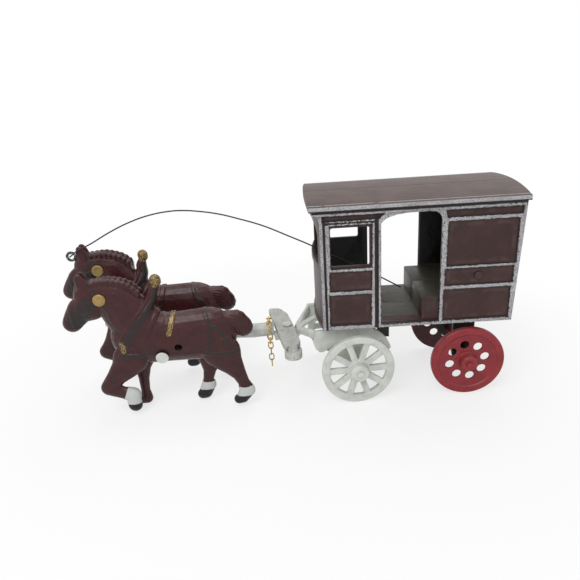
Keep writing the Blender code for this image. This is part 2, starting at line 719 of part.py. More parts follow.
def slanted_rod(radius, low, high, count=12):
    """A round bar along the slanting line of the cross rod."""
    start, end = rod_point(low), rod_point(high)
    bm = rod("Z", (0, 0), radius, 0.0, (end - start).length, count)
    turn = (end - start).to_track_quat("Z", "Y").to_matrix().to_4x4()
    bmesh.ops.transform(bm, matrix=Matrix.Translation(start) @ turn, verts=bm.verts)
    return bm


def pole():
    """Drawbar: an eye, a knee under the evener and a thick bar that rises to its tip."""
    low, high = STACK_BOTTOM, STACK_BOTTOM + POLE_EYE
    eye = rod("Z", (0, 0), POLE_EYE_RADIUS, low, high, 20)
    under, start = EVENER_BOTTOM - 0.4, -POLE_START
    sole = POLE_LIFT - POLE_DEPTH + 0.3
    knee = [(start - 3.0, under), (start - 3.0, sole), (start, sole), (start + 0.6, low), (-4.0, low)]
    knee += [(-4.0, high), (-5.9, high), (-5.9, under)]
    route = [(start, 0, POLE_LIFT, 3.1, POLE_DEPTH - 0.3), (start - 1.0, 0, POLE_LIFT, 3.5, POLE_DEPTH)]
    route += [(-24, 0, 42.5, 3.5, 4.9), (-45, 0, 43.4, 3.4, 4.6), (-70, 0, 45.4, 3.2, 4.2)]
    route += [(-84, 0, 47.4, 3.1, 4.0), (-104, 0, 50.6, 3.0, 3.4), (-118, 0, 54.4, 2.9, 3.0)]
    route += [(-124.3, 0, 56.6, 2.6, 2.6), (-125.6, 0, 57.1, 1.7, 1.7)]
    whole = joined([bar(route), prism("Y", knee, -2.4, 2.4), eye])
    rivet_bore = rod("Z", (0, 0), RIVET_RADIUS + GAP, low - 3, high + 1)
    return tidy(cut(whole, [rivet_bore, slanted_rod(ROD_RADIUS + GAP + 0.6, -8, 8)]))


def cross_rod():
    """Rod through the horses and the pole, with a round head at each end."""
    step = rod_point(1.0) - rod_point(0.0)
    slant = ROD_HEAD_RADIUS * math.hypot(step.x, step.z)
    seat_near = -HORSE_OFFSET - ROD_SEAT - GAP - slant
    seat_far = HORSE_OFFSET + ROD_SEAT + GAP + slant
    near = slanted_rod(ROD_HEAD_RADIUS, seat_near - ROD_HEAD, seat_near, 16)
    far = slanted_rod(ROD_HEAD_RADIUS, seat_far, seat_far + ROD_HEAD, 16)
    return tidy(joined([slanted_rod(ROD_RADIUS, seat_near - 0.5, seat_far + 0.5), near, far]))


def horse_forms():
    """Chains of (along, up, radius, half thickness) balls, each with its offset from the middle."""
    torso = [(-51.5, 54.0, 18.3, 9.4), (-65.0, 53.5, 17.8, 9.2), (-80.0, 53.0, 17.2, 9.3)]
    torso += [(-92.0, 55.0, 19.5, 9.0), (-99.5, 55.0, 17.5, 8.4)]
    neck = [(-96.0, 62.0, 17.5, 8.4), (-103.0, 72.0, 16.3, 7.4), (-109.5, 81.5, 13.8, 6.4)]
    neck += [(-118.0, 87.5, 10.0, 5.4)]
    head = [(-118.0, 87.5, 10.0, 5.4), (*FOREHEAD, 5.4), (-126.0, 80.0, 10.6, 5.6)]
    head += [(-132.5, 77.0, 8.6, 5.0), (-137.2, 71.5, 7.2, 4.6), (-139.8, 68.2, 6.7, 4.5)]
    hames = [(-92.0, 74.0, 5.0, 7.0), (-87.0, 82.0, 3.6, 4.0), (-84.0, 88.5, 2.6, 2.8)]
    hames.append((-82.6, 92.0, 2.4, 2.5))
    ball = [(-82.1, 93.6, 3.6, 3.3), (-82.3, 94.3, 3.6, 3.3)]
    tail = [(-40.0, 62.5, 6.5, 5.0), (-33.0, 62.0, 7.2, 4.3), (-28.8, 56.2, 6.0, 3.9)]
    tail.append((-29.4, 54.4, 4.6, 3.6))
    forms = [(torso, 0.0), (neck, 0.0), (head, 0.0), (hames, 0.0), (ball, 0.0), (tail, 0.0)]
    for side in (-1, 1):
        ear = [(-127.0, 92.0, 3.6, 2.0), (-128.6, 97.6, 2.7, 1.6), (-129.2, 100.4, 1.9, 1.2)]
        forms.append((ear, side * 2.9))
    near_fore = [(-105.0, 42.0, 11.5, 4.2), (-109.0, 36.5, 9.0, 3.9), (-116.0, 29.5, 6.4, 3.6)]
    near_fore += [(-122.4, 21.4, 5.7, 3.3), (-114.0, 17.0, 4.5, 2.9), (-107.4, 14.8, 5.2, 3.3)]
    near_fore += [(-107.4, 11.0, 4.6, 3.2), (-107.2, 6.9, 4.9, 3.5)]
    near_hind = [(-45.0, 43.0, 13.0, 4.6), (-42.0, 37.0, 10.0, 4.2), (-38.5, 31.5, 7.4, 3.8)]
    near_hind += [(-34.8, 24.8, 4.9, 3.3), (-32.3, 18.3, 4.0, 2.9), (-30.3, 11.8, 5.3, 3.3)]
    near_hind += [(-33.8, 6.2, 4.1, 3.4), (-36.5, 5.2, 3.5, 3.0)]
    far_fore = [(-100.0, 42.0, 11.0, 4.2), (-101.0, 30.0, 5.6, 3.6), (-101.7, 20.0, 3.7, 3.0)]
    far_fore += [(-102.0, 10.5, 3.2, 2.8), (-102.0, 3.9, 3.9, 3.4), (-104.0, 2.8, 2.9, 2.8)]
    far_hind = [(-54.0, 42.0, 13.0, 4.4), (-54.2, 32.0, 8.2, 3.9), (-55.6, 23.5, 4.6, 3.2)]
    far_hind += [(-57.4, 15.8, 3.6, 2.9), (-57.4, 11.4, 4.9, 3.2), (-60.4, 5.3, 4.7, 3.5)]
    far_hind.append((-62.6, 4.1, 3.7, 3.1))
    forms += [(near_fore, -LEG_OFFSET), (near_hind, -LEG_OFFSET)]
    forms += [(far_fore, LEG_OFFSET), (far_hind, LEG_OFFSET)]
    return forms


def ball_points(ball, offset):
    """Points on one flattened ball of a form."""
    along, up, radius, half = ball
    points = []
    for i in range(9):
        lift = math.pi * (i / 8 - 0.5)
        for j in range(16):
            turn = 2 * math.pi * j / 16
            flat = radius * math.cos(lift)
            across_ball = offset + half * math.sin(lift)
            points.append((along + flat * math.cos(turn), across_ball, up + flat * math.sin(turn)))
            if i in (0, 8):
                break
    return points


def add_capsule(bm, first, second, offset):
    """Adds the hull round two balls."""
    piece = bmesh.new()
    for point in ball_points(first, offset) + ball_points(second, offset):
        piece.verts.new(point)
    hull = bmesh.ops.convex_hull(piece, input=piece.verts)
    spare = {item for item in hull["geom_interior"] + hull["geom_unused"]}
    spare = [item for item in spare if isinstance(item, bmesh.types.BMVert)]
    bmesh.ops.delete(piece, geom=spare, context="VERTS")
    add_to(bm, piece)


def horse_solid():
    """The whole horse as one smooth skin, with the middle of its front hole as origin."""
    bm = bmesh.new()
    for chain, offset in horse_forms():
        for first, second in zip(chain, chain[1:]):
            add_capsule(bm, first, second, offset)
    obj = helper_object(bm)
    bm.free()
    skin = obj.modifiers.new("Skin", "REMESH")
    skin.mode = "VOXEL"
    skin.voxel_size = HORSE_VOXEL
    soften = obj.modifiers.new("Soften", "SMOOTH")
    soften.factor = 0.5
    soften.iterations = 3
    dense = evaluated(obj)
    thin = obj.modifiers.new("Thin", "DECIMATE")
    thin.ratio = HORSE_TRIANGLES / (2 * len(dense.faces))
    dense.free()
    solid = evaluated(obj)
    drop_helper(obj)
    return solid


def horse_halves():
    """Near and far half of the horse, with the rod holes and the seats of the rivets."""
    solid = horse_solid()
    holes = [rod("Y", FRONT_HOLE, HOLE_RADIUS, -20, 20), rod("Y", REAR_HOLE, HOLE_RADIUS, -20, 20)]
    holes.append(rod("Y", ROSETTE, HEAD_RIVET_RADIUS + GAP, -20, 20, 12))
    for side in (-1, 1):
        reach = sorted((side * ROSETTE_SEAT, side * 14))
        holes.append(rod("Y", ROSETTE, ROSETTE_RADIUS + 0.5, *reach))
        reach = sorted((side * ROD_SEAT, side * 14))
        holes.append(rod("Y", FRONT_HOLE, ROD_HEAD_RADIUS + ROD_TILT_ROOM, *reach))
        holes.append(rod("Y", REAR_HOLE, ROD_HEAD_RADIUS + ROD_TILT_ROOM, *reach))
    solid = cut(solid, holes)
    near = boolean(solid.copy(), box(-200, 0, -GAP / 2, 30, -20, 150), "DIFFERENCE")
    far = boolean(solid, box(-200, 0, -30, GAP / 2, -20, 150), "DIFFERENCE")
    for half in (near, far):
        bmesh.ops.translate(half, verts=half.verts, vec=(-FRONT_HOLE[0], 0, -FRONT_HOLE[1]))
        tidy(half)
    return near, far


def link_mesh(open_end=False):
    """A chain link: a wire bent round an oval, long side on Z, lying in the XZ plane."""
    turn_radius = (LINK_WIDTH - LINK_WIRE) / 2
    straight = (LINK_LENGTH - LINK_WIDTH) / 2
    path = [(x, z + straight) for x, z in arc((0, 0), turn_radius, 0, 180, 4)]
    path += [(x, z - straight) for x, z in arc((0, 0), turn_radius, 180, 360, 4)]
    if open_end:
        path = path[:-2]
    bm = bmesh.new()
    rings = []
    count = len(path)
    for i, (x, z) in enumerate(path):
        before = path[i - 1] if i or not open_end else path[0]
        after = path[(i + 1) % count] if i + 1 < count or not open_end else path[i]
        along = Vector((after[0] - before[0], 0, after[1] - before[1])).normalized()
        side = along.cross(Vector((0, 1, 0)))
        ring = []
        for k in range(6):
            angle = 2 * math.pi * k / 6
            spread = side * math.cos(angle) + Vector((0, 1, 0)) * math.sin(angle)
            ring.append(bm.verts.new(Vector((x, 0, z)) + spread * (LINK_WIRE / 2)))
        rings.append(ring)
    pairs = zip(rings, rings[1:]) if open_end else [(rings[i - 1], rings[i]) for i in range(count)]
    for here, there in pairs:
        for k in range(6):
            bm.faces.new((here[k - 1], here[k], there[k], there[k - 1]))
    if open_end:
        bm.faces.new(rings[0])
        bm.faces.new(rings[-1])
    bmesh.ops.recalc_face_normals(bm, faces=bm.faces)
    return bm


def wire(name, points, radius, material, parent, cyclic=False):
    """A round wire along a smooth curve through hand-set points."""
    curve = bpy.data.curves.new(name, "CURVE")
    curve.dimensions = "3D"
    curve.bevel_depth = radius * MM
    curve.bevel_resolution = 1
    curve.use_fill_caps = True
    route = smooth_route(points, WIRE_STEPS, cyclic)
    spline = curve.splines.new("POLY")
    spline.points.add(len(route) - 1)
    for spot, place in zip(spline.points, route):
        spot.co = (*(place * MM), 1.0)
    spline.use_cyclic_u = cyclic
    curve.materials.append(material)
    obj = bpy.data.objects.new(name, curve)
    bpy.context.scene.collection.objects.link(obj)
    obj.parent = parent
    return obj


def smooth_route(points, steps, cyclic):
    """Points of a smooth curve that passes through the given ones."""
    known = [Vector(point) for point in points]
    count = len(known)
    spans = count if cyclic else count - 1
    route = []
    for i in range(spans):
        if cyclic:
            a, b, c, d = (known[(i + k) % count] for k in (-1, 0, 1, 2))
        else:
            a, b, c, d = (known[min(max(i + k, 0), count - 1)] for k in (-1, 0, 1, 2))
        for step in range(steps):
            t = step / steps
            route.append(0.5 * (2 * b + (c - a) * t + (2 * a - 5 * b + 4 * c - d) * t * t
                                + (3 * b - a - 3 * c + d) * t ** 3))
    if not cyclic:
        route.append(known[-1])
    return route


def main():
    """Builds the whole toy."""
    clear_scene()
    maroon = paint("maroon_enamel", (0.055, 0.025, 0.022), 0.1, 0.45)
    white = paint("white_enamel", (0.56, 0.59, 0.54), 0.0, 0.5)
    red = paint("red_enamel", (0.33, 0.02, 0.025), 0.1, 0.4)
    brown = paint("horse_enamel", (0.07, 0.028, 0.026), 0.1, 0.45)
    gold = paint("gold_paint", (0.5, 0.34, 0.1), 0.6, 0.45)
    iron = paint("dark_iron", (0.03, 0.03, 0.03), 0.8, 0.5)
    brass = paint("brass_chain", (0.62, 0.42, 0.12), 1.0, 0.35)

    wagon = empty("wagon_frame", None, (FRAME_X, FRAME_Y, 0))
    half = body_half()
    far_half = mirrored(half)
    finished("body_near_half", half, maroon, wagon)
    finished("body_far_half", far_half, maroon, wagon)
    panel_face = BODY_HALF_WIDTH - BEAD + GAP
    tie = headed_pin("Y", (0, 0), TIE_RADIUS, -panel_face, panel_face, TIE_HEAD_RADIUS, TIE_HEAD)
    finished("body_tie_rivet", tie, maroon, wagon, (TIE_X, 0, TIE_Z))
    under = PLATE_BOTTOM - GAP
    over = BODY_BOTTOM + FLOOR + GAP
    king = headed_pin("Z", (0, 0), KING_RADIUS, under, over, KING_HEAD_RADIUS, KING_HEAD)
    finished("king_pin", king, iron, wagon, (KING_X, 0, 0))
    ends = REAR_HUB_FACE + GAP
    axle = headed_pin("Y", (0, 0), AXLE_RADIUS, -ends, ends, AXLE_HEAD_RADIUS, AXLE_HEAD)
    finished("rear_axle", axle, iron, wagon, (REAR_AXLE_X, 0, WHEEL_RADIUS))
    hub = (REAR_AXLE_X, -WHEEL_FACE, WHEEL_RADIUS)
    near_wheel = finished("rear_wheel_near", rear_wheel(), red, wagon, hub)
    hub = (REAR_AXLE_X, WHEEL_FACE, WHEEL_RADIUS)
    placed("rear_wheel_far", near_wheel.data, wagon, hub, (0, 2 * REAR_HOLE_TURN, 180))

    truck = empty("truck_pivot", wagon, (KING_X, 0, 0), TRUCK_YAW)
    finished("front_truck", front_truck(), white, truck)
    ends = FRONT_HUB_FACE + GAP
    axle = headed_pin("Y", (0, 0), AXLE_RADIUS, -ends, ends, AXLE_HEAD_RADIUS, AXLE_HEAD)
    finished("front_axle", axle, white, truck, (0, 0, WHEEL_RADIUS))
    hub = (0, -FRONT_WHEEL_FACE, WHEEL_RADIUS)
    near_wheel = finished("front_wheel_near", front_wheel(), white, truck, hub)
    hub = (0, FRONT_WHEEL_FACE, WHEEL_RADIUS)
    placed("front_wheel_far", near_wheel.data, truck, hub, (0, 0, 180))

    under = STACK_BOTTOM - GAP
    rivet = headed_pin("Z", (0, 0), RIVET_RADIUS, under, STACK_TOP + GAP, RIVET_HEAD_RADIUS, RIVET_HEAD)
    finished("tongue_rivet", rivet, white, truck, (-RIVET_REACH, 0, 0))
    finished("evener", evener(), white, empty("evener_pivot", truck, (-RIVET_REACH, 0, 0), EVENER_YAW))
    team = empty("pole_pivot", truck, (-RIVET_REACH, 0, 0), POLE_YAW)
    finished("pole", pole(), white, team)
    finished("cross_rod", cross_rod(), white, team)

    near_half, far_half = horse_halves()
    near_pivot = empty("near_horse_pivot", team, rod_point(-HORSE_OFFSET))
    far_pivot = empty("far_horse_pivot", team, rod_point(HORSE_OFFSET), 0.0, FAR_PITCH)
    shift = (FRONT_HOLE[0] - REAR_HOLE[0], 0, FRONT_HOLE[1] - REAR_HOLE[1])
    first = finished("near_horse_near_half", near_half, brown, near_pivot)
    second = finished("near_horse_far_half", far_half, brown, near_pivot)
    placed("far_horse_near_half", first.data, far_pivot, shift)
    placed("far_horse_far_half", second.data, far_pivot, shift)
    seat_face = ROSETTE_SEAT + GAP
    stud = headed_pin("Y", (0, 0), HEAD_RIVET_RADIUS, -seat_face, seat_face, ROSETTE_RADIUS, 1.0)
    eye = Vector((ROSETTE[0] - FRONT_HOLE[0], 0, ROSETTE[1] - FRONT_HOLE[1]))
    stud = finished("near_horse_rosette_rivet", stud, gold, near_pivot, eye)
    placed("far_horse_rosette_rivet", stud.data, far_pivot, eye + Vector(shift))

    link = link_mesh()
    chord = (LINK_LENGTH - LINK_WIRE) * math.cos(math.pi / LOOP_LINKS) - LINK_WIRE - GAP
    loop_radius = chord / 2 / math.sin(math.pi / LOOP_LINKS)
    middle = POLE_LIFT + POLE_DEPTH + GAP + LINK_WIDTH / 2 - loop_radius
    mesh = finished("loop_link_1", link, brass, team).data
    for i in range(LOOP_LINKS):
        turn = 2 * math.pi * i / LOOP_LINKS
        name = "loop_link_%d" % (i + 1)
        obj = placed(name, mesh, team) if i else bpy.data.objects[name]
        reach = (-loop_radius * math.sin(turn), middle + loop_radius * math.cos(turn))
        obj.location = Vector((-LOOP_PLACE, *reach)) * MM
        twist = Matrix.Rotation(0.0 if i % 2 else math.pi / 2, 3, "Z")
        obj.rotation_euler = (Matrix.Rotation(turn + math.pi / 2, 3, "X") @ twist).to_euler()
    pivot_z = middle - loop_radius - (LINK_WIDTH - LINK_WIRE) / 2
    chain = empty("chain_pivot", team, (-LOOP_PLACE, 0, pivot_z))
    drop = (LINK_LENGTH - LINK_WIRE) / 2 - LINK_WIRE - GAP
    for i in range(HANGING_LINKS):
        turn = 90 if i % 2 else 0
        placed("hanging_link_%d" % (i + 1), mesh, chain, (0, 0, -drop - i * LINK_PITCH), (0, 0, turn))
    last = -drop - HANGING_LINKS * LINK_PITCH
    turn = 90 if HANGING_LINKS % 2 else 0
    finished("chain_hook", link_mesh(True), brass, chain, (0, 0, last), (0, 0, turn))

    route = [(-173.2, 11.3, 99.8), (-165.0, 7.1, 105.6), (-156.6, 6.3, 109.2), (-140.9, 7.6, 117.0)]
    route += [(-127.2, 7.3, 122.8), (-113.0, 7.0, 127.0), (-98.3, 6.5, 129.1), (-89.8, 6.1, 129.2)]
    route += [(-79.5, 5.6, 128.2), (-65.5, 4.9, 125.6), (-51.7, 4.1, 121.5), (-36.6, 3.3, 116.2)]
    route += [(-20.3, 2.4, 108.5), (-3.1, 1.7, 99.9), (9.6, 1.8, 92.6), (27.4, 2.3, 83.0)]
    route += [(42.8, 2.7, 74.2), (52.3, 2.9, 68.4), (56.9, 3.0, 65.6)]
    frame = wagon_to(team)
    wire("rein_wire", [frame @ Vector(point) for point in route], REIN_RADIUS, iron, team)
    reach = FOREHEAD[2] + BRIDLE_RADIUS + BRIDLE_WIRE / 2 + GAP
    lean = math.radians(LOOP_ANGLE)
    along = FOREHEAD[0] - REAR_HOLE[0] + reach * math.cos(lean)
    high = FOREHEAD[1] - REAR_HOLE[1] + reach * math.sin(lean)
    loop = circle((along, high), BRIDLE_RADIUS, 8)
    wire("bridle_loop", [(x, 0, z) for x, z in loop], BRIDLE_WIRE, iron, far_pivot, True)


def wagon_to(pivot):
    """Matrix, in millimetres, from the wagon's frame to a pivot's frame."""
    bpy.context.view_layer.update()
    frame = pivot.matrix_world.inverted() @ bpy.data.objects["wagon_frame"].matrix_world
    frame.translation = frame.translation / MM
    return frame


main()
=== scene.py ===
# %% [markdown]
# # A cast iron toy carriage and its pair of horses
# The real toy is cast in two halves for the body and for each horse, then riveted and painted.
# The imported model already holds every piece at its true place, so this script only dresses it:
# it keeps the shapes that are right, models the ones that need more form, and paints them all.

# %% Load the frame
import json
import math

import bpy
import numpy as np
from mathutils import Matrix, Vector


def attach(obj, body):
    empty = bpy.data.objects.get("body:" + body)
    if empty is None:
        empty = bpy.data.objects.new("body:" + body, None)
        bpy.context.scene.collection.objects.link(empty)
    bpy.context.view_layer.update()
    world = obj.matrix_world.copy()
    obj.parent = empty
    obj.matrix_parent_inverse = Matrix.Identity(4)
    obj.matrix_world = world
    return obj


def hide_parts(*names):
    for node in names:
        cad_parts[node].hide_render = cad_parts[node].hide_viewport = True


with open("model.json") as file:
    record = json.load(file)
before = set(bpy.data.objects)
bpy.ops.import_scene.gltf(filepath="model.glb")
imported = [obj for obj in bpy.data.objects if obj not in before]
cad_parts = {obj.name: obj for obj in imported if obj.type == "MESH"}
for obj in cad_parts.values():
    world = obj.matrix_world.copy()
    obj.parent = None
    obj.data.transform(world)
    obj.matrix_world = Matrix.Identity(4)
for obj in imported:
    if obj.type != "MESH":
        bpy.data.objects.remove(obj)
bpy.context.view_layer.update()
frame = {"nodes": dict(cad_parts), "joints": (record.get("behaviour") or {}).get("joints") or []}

# %% [markdown]
# ## One frame for each group of pieces
# A carriage, a turned front truck and a team that points a little to one side each have their
# own straight directions. Typing world coordinates for them would be hard to follow, so each
# group gets a matrix, read from the joints, and its pieces are modelled in plain millimetres.

# %% Frames of the groups
MM = 0.001
KING_PIN_X = 18.3
EVENER_YAW = 5.5
FAR_HORSE_PITCH = 2.8
joint = {entry["name"]: entry for entry in frame["joints"]}


def frame_at(place, across, pitch=0.0):
    """A frame in millimetres whose Y is the given axis and whose Z is up."""
    y_axis = Vector(across).normalized()
    turned = Matrix((y_axis.cross(Vector((0, 0, 1))), y_axis, (0, 0, 1))).transposed().to_4x4()
    turned = turned @ Matrix.Rotation(math.radians(pitch), 4, "Y")
    return Matrix.Translation(Vector(place)) @ turned @ Matrix.Scale(MM, 4)


def ground(name):
    """A joint's place, dropped to the ground."""
    x, y, z = joint[name]["pos_m"]
    return Vector((x, y, 0))


truck_axis = joint["near_front_wheel_spin"]["axis"]
team_axis = joint["chain_swing"]["axis"]
wagon_frame = frame_at(ground("truck_steer") - Vector((KING_PIN_X * MM, 0, 0)), (0, 1, 0))
truck_frame = frame_at(ground("truck_steer"), truck_axis)
evener_axis = Matrix.Rotation(math.radians(EVENER_YAW), 3, "Z") @ Vector(truck_axis)
evener_frame = frame_at(ground("evener_swing"), evener_axis)
near_horse_frame = frame_at(joint["near_horse_rock"]["pos_m"], team_axis)
far_horse_frame = frame_at(joint["far_horse_rock"]["pos_m"], team_axis, FAR_HORSE_PITCH)
print("wagon starts at", [round(v, 4) for v in wagon_frame.translation])

# %% [markdown]
# ## Camera
# The photograph looks down at the near side from a little in front. The camera was worked out
# from the wheels and the body's edges, so it is written as the place, the three angles and the
# focal length in pixels of the square picture.

# %% Camera
PICTURE = 580
FOCAL_PIXELS = 573.45
CAMERA_YAW, CAMERA_DOWN, CAMERA_ROLL = -0.79, 22.17, -3.73
CAMERA_PLACE = (-15.81, -370.29, 220.56)

yaw, down = math.radians(CAMERA_YAW), math.radians(CAMERA_DOWN)
ahead = Vector((math.sin(yaw) * math.cos(down), math.cos(yaw) * math.cos(down), -math.sin(down)))
level = ahead.cross(Vector((0, 0, 1))).normalized()
roll = Matrix.Rotation(math.radians(CAMERA_ROLL), 3, -ahead)
right = roll @ level
upward = right.cross(ahead)
camera_data = bpy.data.cameras.new("camera")
camera_data.sensor_width = 36.0
camera_data.lens = camera_data.sensor_width * FOCAL_PIXELS / PICTURE
camera_data.clip_start = 0.01
camera = bpy.data.objects.new("camera", camera_data)
bpy.context.scene.collection.objects.link(camera)
camera.matrix_world = Matrix((right, upward, -ahead)).transposed().to_4x4()
camera.location = wagon_frame @ Vector(CAMERA_PLACE)
bpy.context.scene.camera = camera
print("lens", round(camera_data.lens, 2), "mm")

# %% [markdown]
# ## Shader helpers and shared effects
# Every finish here is paint on rough iron. Three effects come back in all of them: the lumpy
# skin of sand casting, chips in the paint, and dust that settles on faces that look up. Each is
# a node group with named sockets, so one change improves every material that uses it.

# %% Shader helpers


def add_node(tree, kind, inputs=None, **settings):
    """Adds a shader node, sets it up, and links or fills its inputs."""
    node = tree.nodes.new("ShaderNode" + kind)
    for name, value in settings.items():
        setattr(node, name, value)
    for name, value in (inputs or {}).items():
        if isinstance(value, bpy.types.NodeSocket):
            tree.links.new(value, node.inputs[name])
        else:
            node.inputs[name].default_value = value
    return node


def tree_of(*values):
    """The tree of nodes that the first linked value comes from."""
    return next(value.id_data for value in values if isinstance(value, bpy.types.NodeSocket))


def calc(operation, first, second=0.0):
    """One sum on two values."""
    inputs = {0: first, 1: second}
    return add_node(tree_of(first, second), "Math", inputs, operation=operation).outputs[0]


def product(first, *others):
    """All the shares multiplied."""
    for other in others:
        first = calc("MULTIPLY", first, other)
    return first


def rest_of(share):
    """What a share leaves of one."""
    return calc("SUBTRACT", 1.0, share)


def fade(value, low, high):
    """Rises smoothly from 0 to 1 between two limits."""
    limits = {"Value": value, "From Min": low, "From Max": high}
    return add_node(tree_of(value), "MapRange", limits, interpolation_type="SMOOTHSTEP").outputs[0]


def band(value, low, high, soft):
    """One between two limits and zero outside them."""
    rise = fade(value, low - soft, low + soft)
    fall = fade(value, high - soft, high + soft)
    return calc("SUBTRACT", rise, fall)


def blend(share, first, second):
    """One colour where share is 0 and another where it is 1."""
    tree = tree_of(share)
    node = add_node(tree, "Mix", data_type="RGBA")
    for index, value in ((0, share), (6, first), (7, second)):
        if isinstance(value, bpy.types.NodeSocket):
            tree.links.new(value, node.inputs[index])
        else:
            node.inputs[index].default_value = (*value, 1.0) if index else value
    return node.outputs[2]


def noise(vector, size, detail=3.0, rough=0.55):
    """Noise whose lumps are about the given size in millimetres."""
    inputs = {"Vector": vector, "Scale": 1 / (size * MM), "Detail": detail, "Roughness": rough}
    return add_node(tree_of(vector), "TexNoise", inputs).outputs["Fac"]


def object_place(tree):
    """Object coordinates."""
    return add_node(tree, "TexCoord").outputs["Object"]


print("shader helpers ready")

# %% Shared effects


def new_group(name, inputs, outputs):
    """An empty node group with named number sockets."""
    tree = bpy.data.node_groups.new(name, "ShaderNodeTree")
    for label, value in inputs.items():
        tree.interface.new_socket(label, in_out="INPUT", socket_type="NodeSocketFloat").default_value = value
    for label in outputs:
        tree.interface.new_socket(label, in_out="OUTPUT", socket_type="NodeSocketFloat")
    return tree, tree.nodes.new("NodeGroupInput").outputs, tree.nodes.new("NodeGroupOutput").inputs


def casting_skin_group():
    """Height of a sand-cast surface: slow waves, grain and a few pits."""
    tree, given, result = new_group("casting_skin", {"Waves": 1.0, "Grain": 1.0}, ["Height"])
    place = object_place(tree)
    waves = product(noise(place, 4.0, 2.0), given["Waves"], 1.2)
    grain = product(noise(place, 0.7, 4.0, 0.65), given["Grain"], 0.45)
    pits = product(fade(noise(place, 1.6, 2.0), 0.66, 0.74), 0.3)
    tree.links.new(calc("SUBTRACT", calc("ADD", waves, grain), pits), result["Height"])
    return tree


def paint_chips_group():
    """Spots where the paint is gone."""
    tree, given, result = new_group("paint_chips", {"Size": 1.0, "Amount": 0.3}, ["Chips"])
    place = add_node(tree, "VectorMath", {0: object_place(tree)}, operation="SCALE")
    tree.links.new(calc("DIVIDE", 1.0, given["Size"]), place.inputs["Scale"])
    spots = noise(place.outputs[0], 1.0, 4.0, 0.7)
    limit = calc("SUBTRACT", 0.78, product(given["Amount"], 0.4))
    level = calc("SUBTRACT", spots, limit)
    tree.links.new(fade(level, 0.0, 0.035), result["Chips"])
    return tree


def facing_up(tree):
    """How far a face looks up, from -1 to 1."""
    normal = add_node(tree, "NewGeometry").outputs["Normal"]
    return add_node(tree, "SeparateXYZ", {0: normal}).outputs["Z"]


def settled_dust_group():
    """Dust on faces that look up, in soft patches."""
    tree, given, result = new_group("settled_dust", {"Amount": 0.5}, ["Dust"])
    patches = fade(noise(object_place(tree), 9.0, 4.0), 0.3, 0.7)
    lying = product(fade(facing_up(tree), 0.25, 0.95), given["Amount"], patches)
    tree.links.new(lying, result["Dust"])
    return tree


SKIN, CHIPS, DUST = casting_skin_group(), paint_chips_group(), settled_dust_group()
print("shared effects:", [group.name for group in (SKIN, CHIPS, DUST)])

# %% Paint helpers


def effect(tree, group, **values):
    """Places a shared effect and gives its one output."""
    node = add_node(tree, "Group", node_tree=group)
    for name, value in values.items():
        node.inputs[name].default_value = value
    return node.outputs[0]


def new_paint(name):
    """A material, its tree of nodes and its shader."""
    material = bpy.data.materials.new(name)
    material.use_nodes = True
    return material, material.node_tree, material.node_tree.nodes["Principled BSDF"]


def finish_paint(shader, colours, roughness, shine, height, depth):
    """Links colours, roughness and a relief in millimetres to a shader."""
    tree = tree_of(colours)
    bump = add_node(tree, "Bump", {"Height": height, "Distance": depth * MM, "Strength": 1.0})
    tree.links.new(colours, shader.inputs["Base Color"])
    tree.links.new(roughness, shader.inputs["Roughness"])
    tree.links.new(bump.outputs["Normal"], shader.inputs["Normal"])
    shader.inputs["Specular IOR Level"].default_value = shine


print("paint helpers ready")

# %% [markdown]
# ## Plain paints
# The truck, the pole and the front wheels are off-white over dark iron, the rear wheels are red,
# the far one darker for dirt and painted shade, and the chain is dull brass. Each is a base colour
# that drifts a little, darker chips, and dust.
# One function makes them all, because they differ only in their colours and in how worn they are.

# %% Plain paints


def plain_paint(name, colour, drift, chip, rough, wear, dust, metallic=0.0, grain=1.0, chip_size=1.0):
    """Paint or bare metal that varies, chips and gathers dust."""
    material, tree, shader = new_paint(name)
    patches = fade(noise(object_place(tree), 7.0, 4.0), 0.35, 0.65)
    colours = blend(patches, colour, drift)
    chips = effect(tree, CHIPS, Size=chip_size, Amount=wear)
    colours = blend(chips, colours, chip)
    colours = blend(effect(tree, DUST, Amount=dust), colours, DUST_COLOUR)
    shader.inputs["Metallic"].default_value = metallic
    skin = effect(tree, SKIN, Waves=0.6, Grain=grain)
    finish_paint(shader, colours, calc("ADD", product(chips, 0.2), rough), 0.35, skin, 0.22)
    return material


DUST_COLOUR = (0.33, 0.29, 0.26)
white_paint = plain_paint("white_enamel", (0.66, 0.68, 0.635), (0.55, 0.575, 0.53), (0.16, 0.12, 0.09),
                          rough=0.42, wear=0.16, dust=0.1)
worn_white = plain_paint("worn_white_enamel", (0.60, 0.62, 0.58), (0.50, 0.51, 0.48), (0.10, 0.08, 0.065),
                         rough=0.45, wear=0.6, dust=0.05, chip_size=0.5)
brown_paint = plain_paint("brown_enamel", (0.055, 0.029, 0.026), (0.045, 0.024, 0.022), (0.10, 0.075, 0.07),
                          rough=0.42, wear=0.2, dust=0.0)
red_paint = plain_paint("red_enamel", (0.285, 0.024, 0.031), (0.225, 0.020, 0.027), (0.10, 0.03, 0.03),
                        rough=0.36, wear=0.2, dust=0.14, chip_size=0.7)
# The far rear wheel's red, darker for dirt and for painted shade.
red_dirt_and_shade_paint = plain_paint("red_enamel_dirt_and_shade", (0.085, 0.014, 0.02), (0.06, 0.012, 0.016),
                             (0.04, 0.015, 0.015), rough=0.4, wear=0.2, dust=0.05)
iron_paint = plain_paint("dark_iron", (0.020, 0.018, 0.017), (0.030, 0.025, 0.023), (0.06, 0.04, 0.03),
                         rough=0.5, wear=0.15, dust=0.06)
gilt_paint = plain_paint("gold_paint", (0.40, 0.27, 0.09), (0.26, 0.18, 0.065), (0.045, 0.03, 0.02),
                         rough=0.45, wear=0.5, dust=0.0, metallic=0.35, chip_size=0.5)
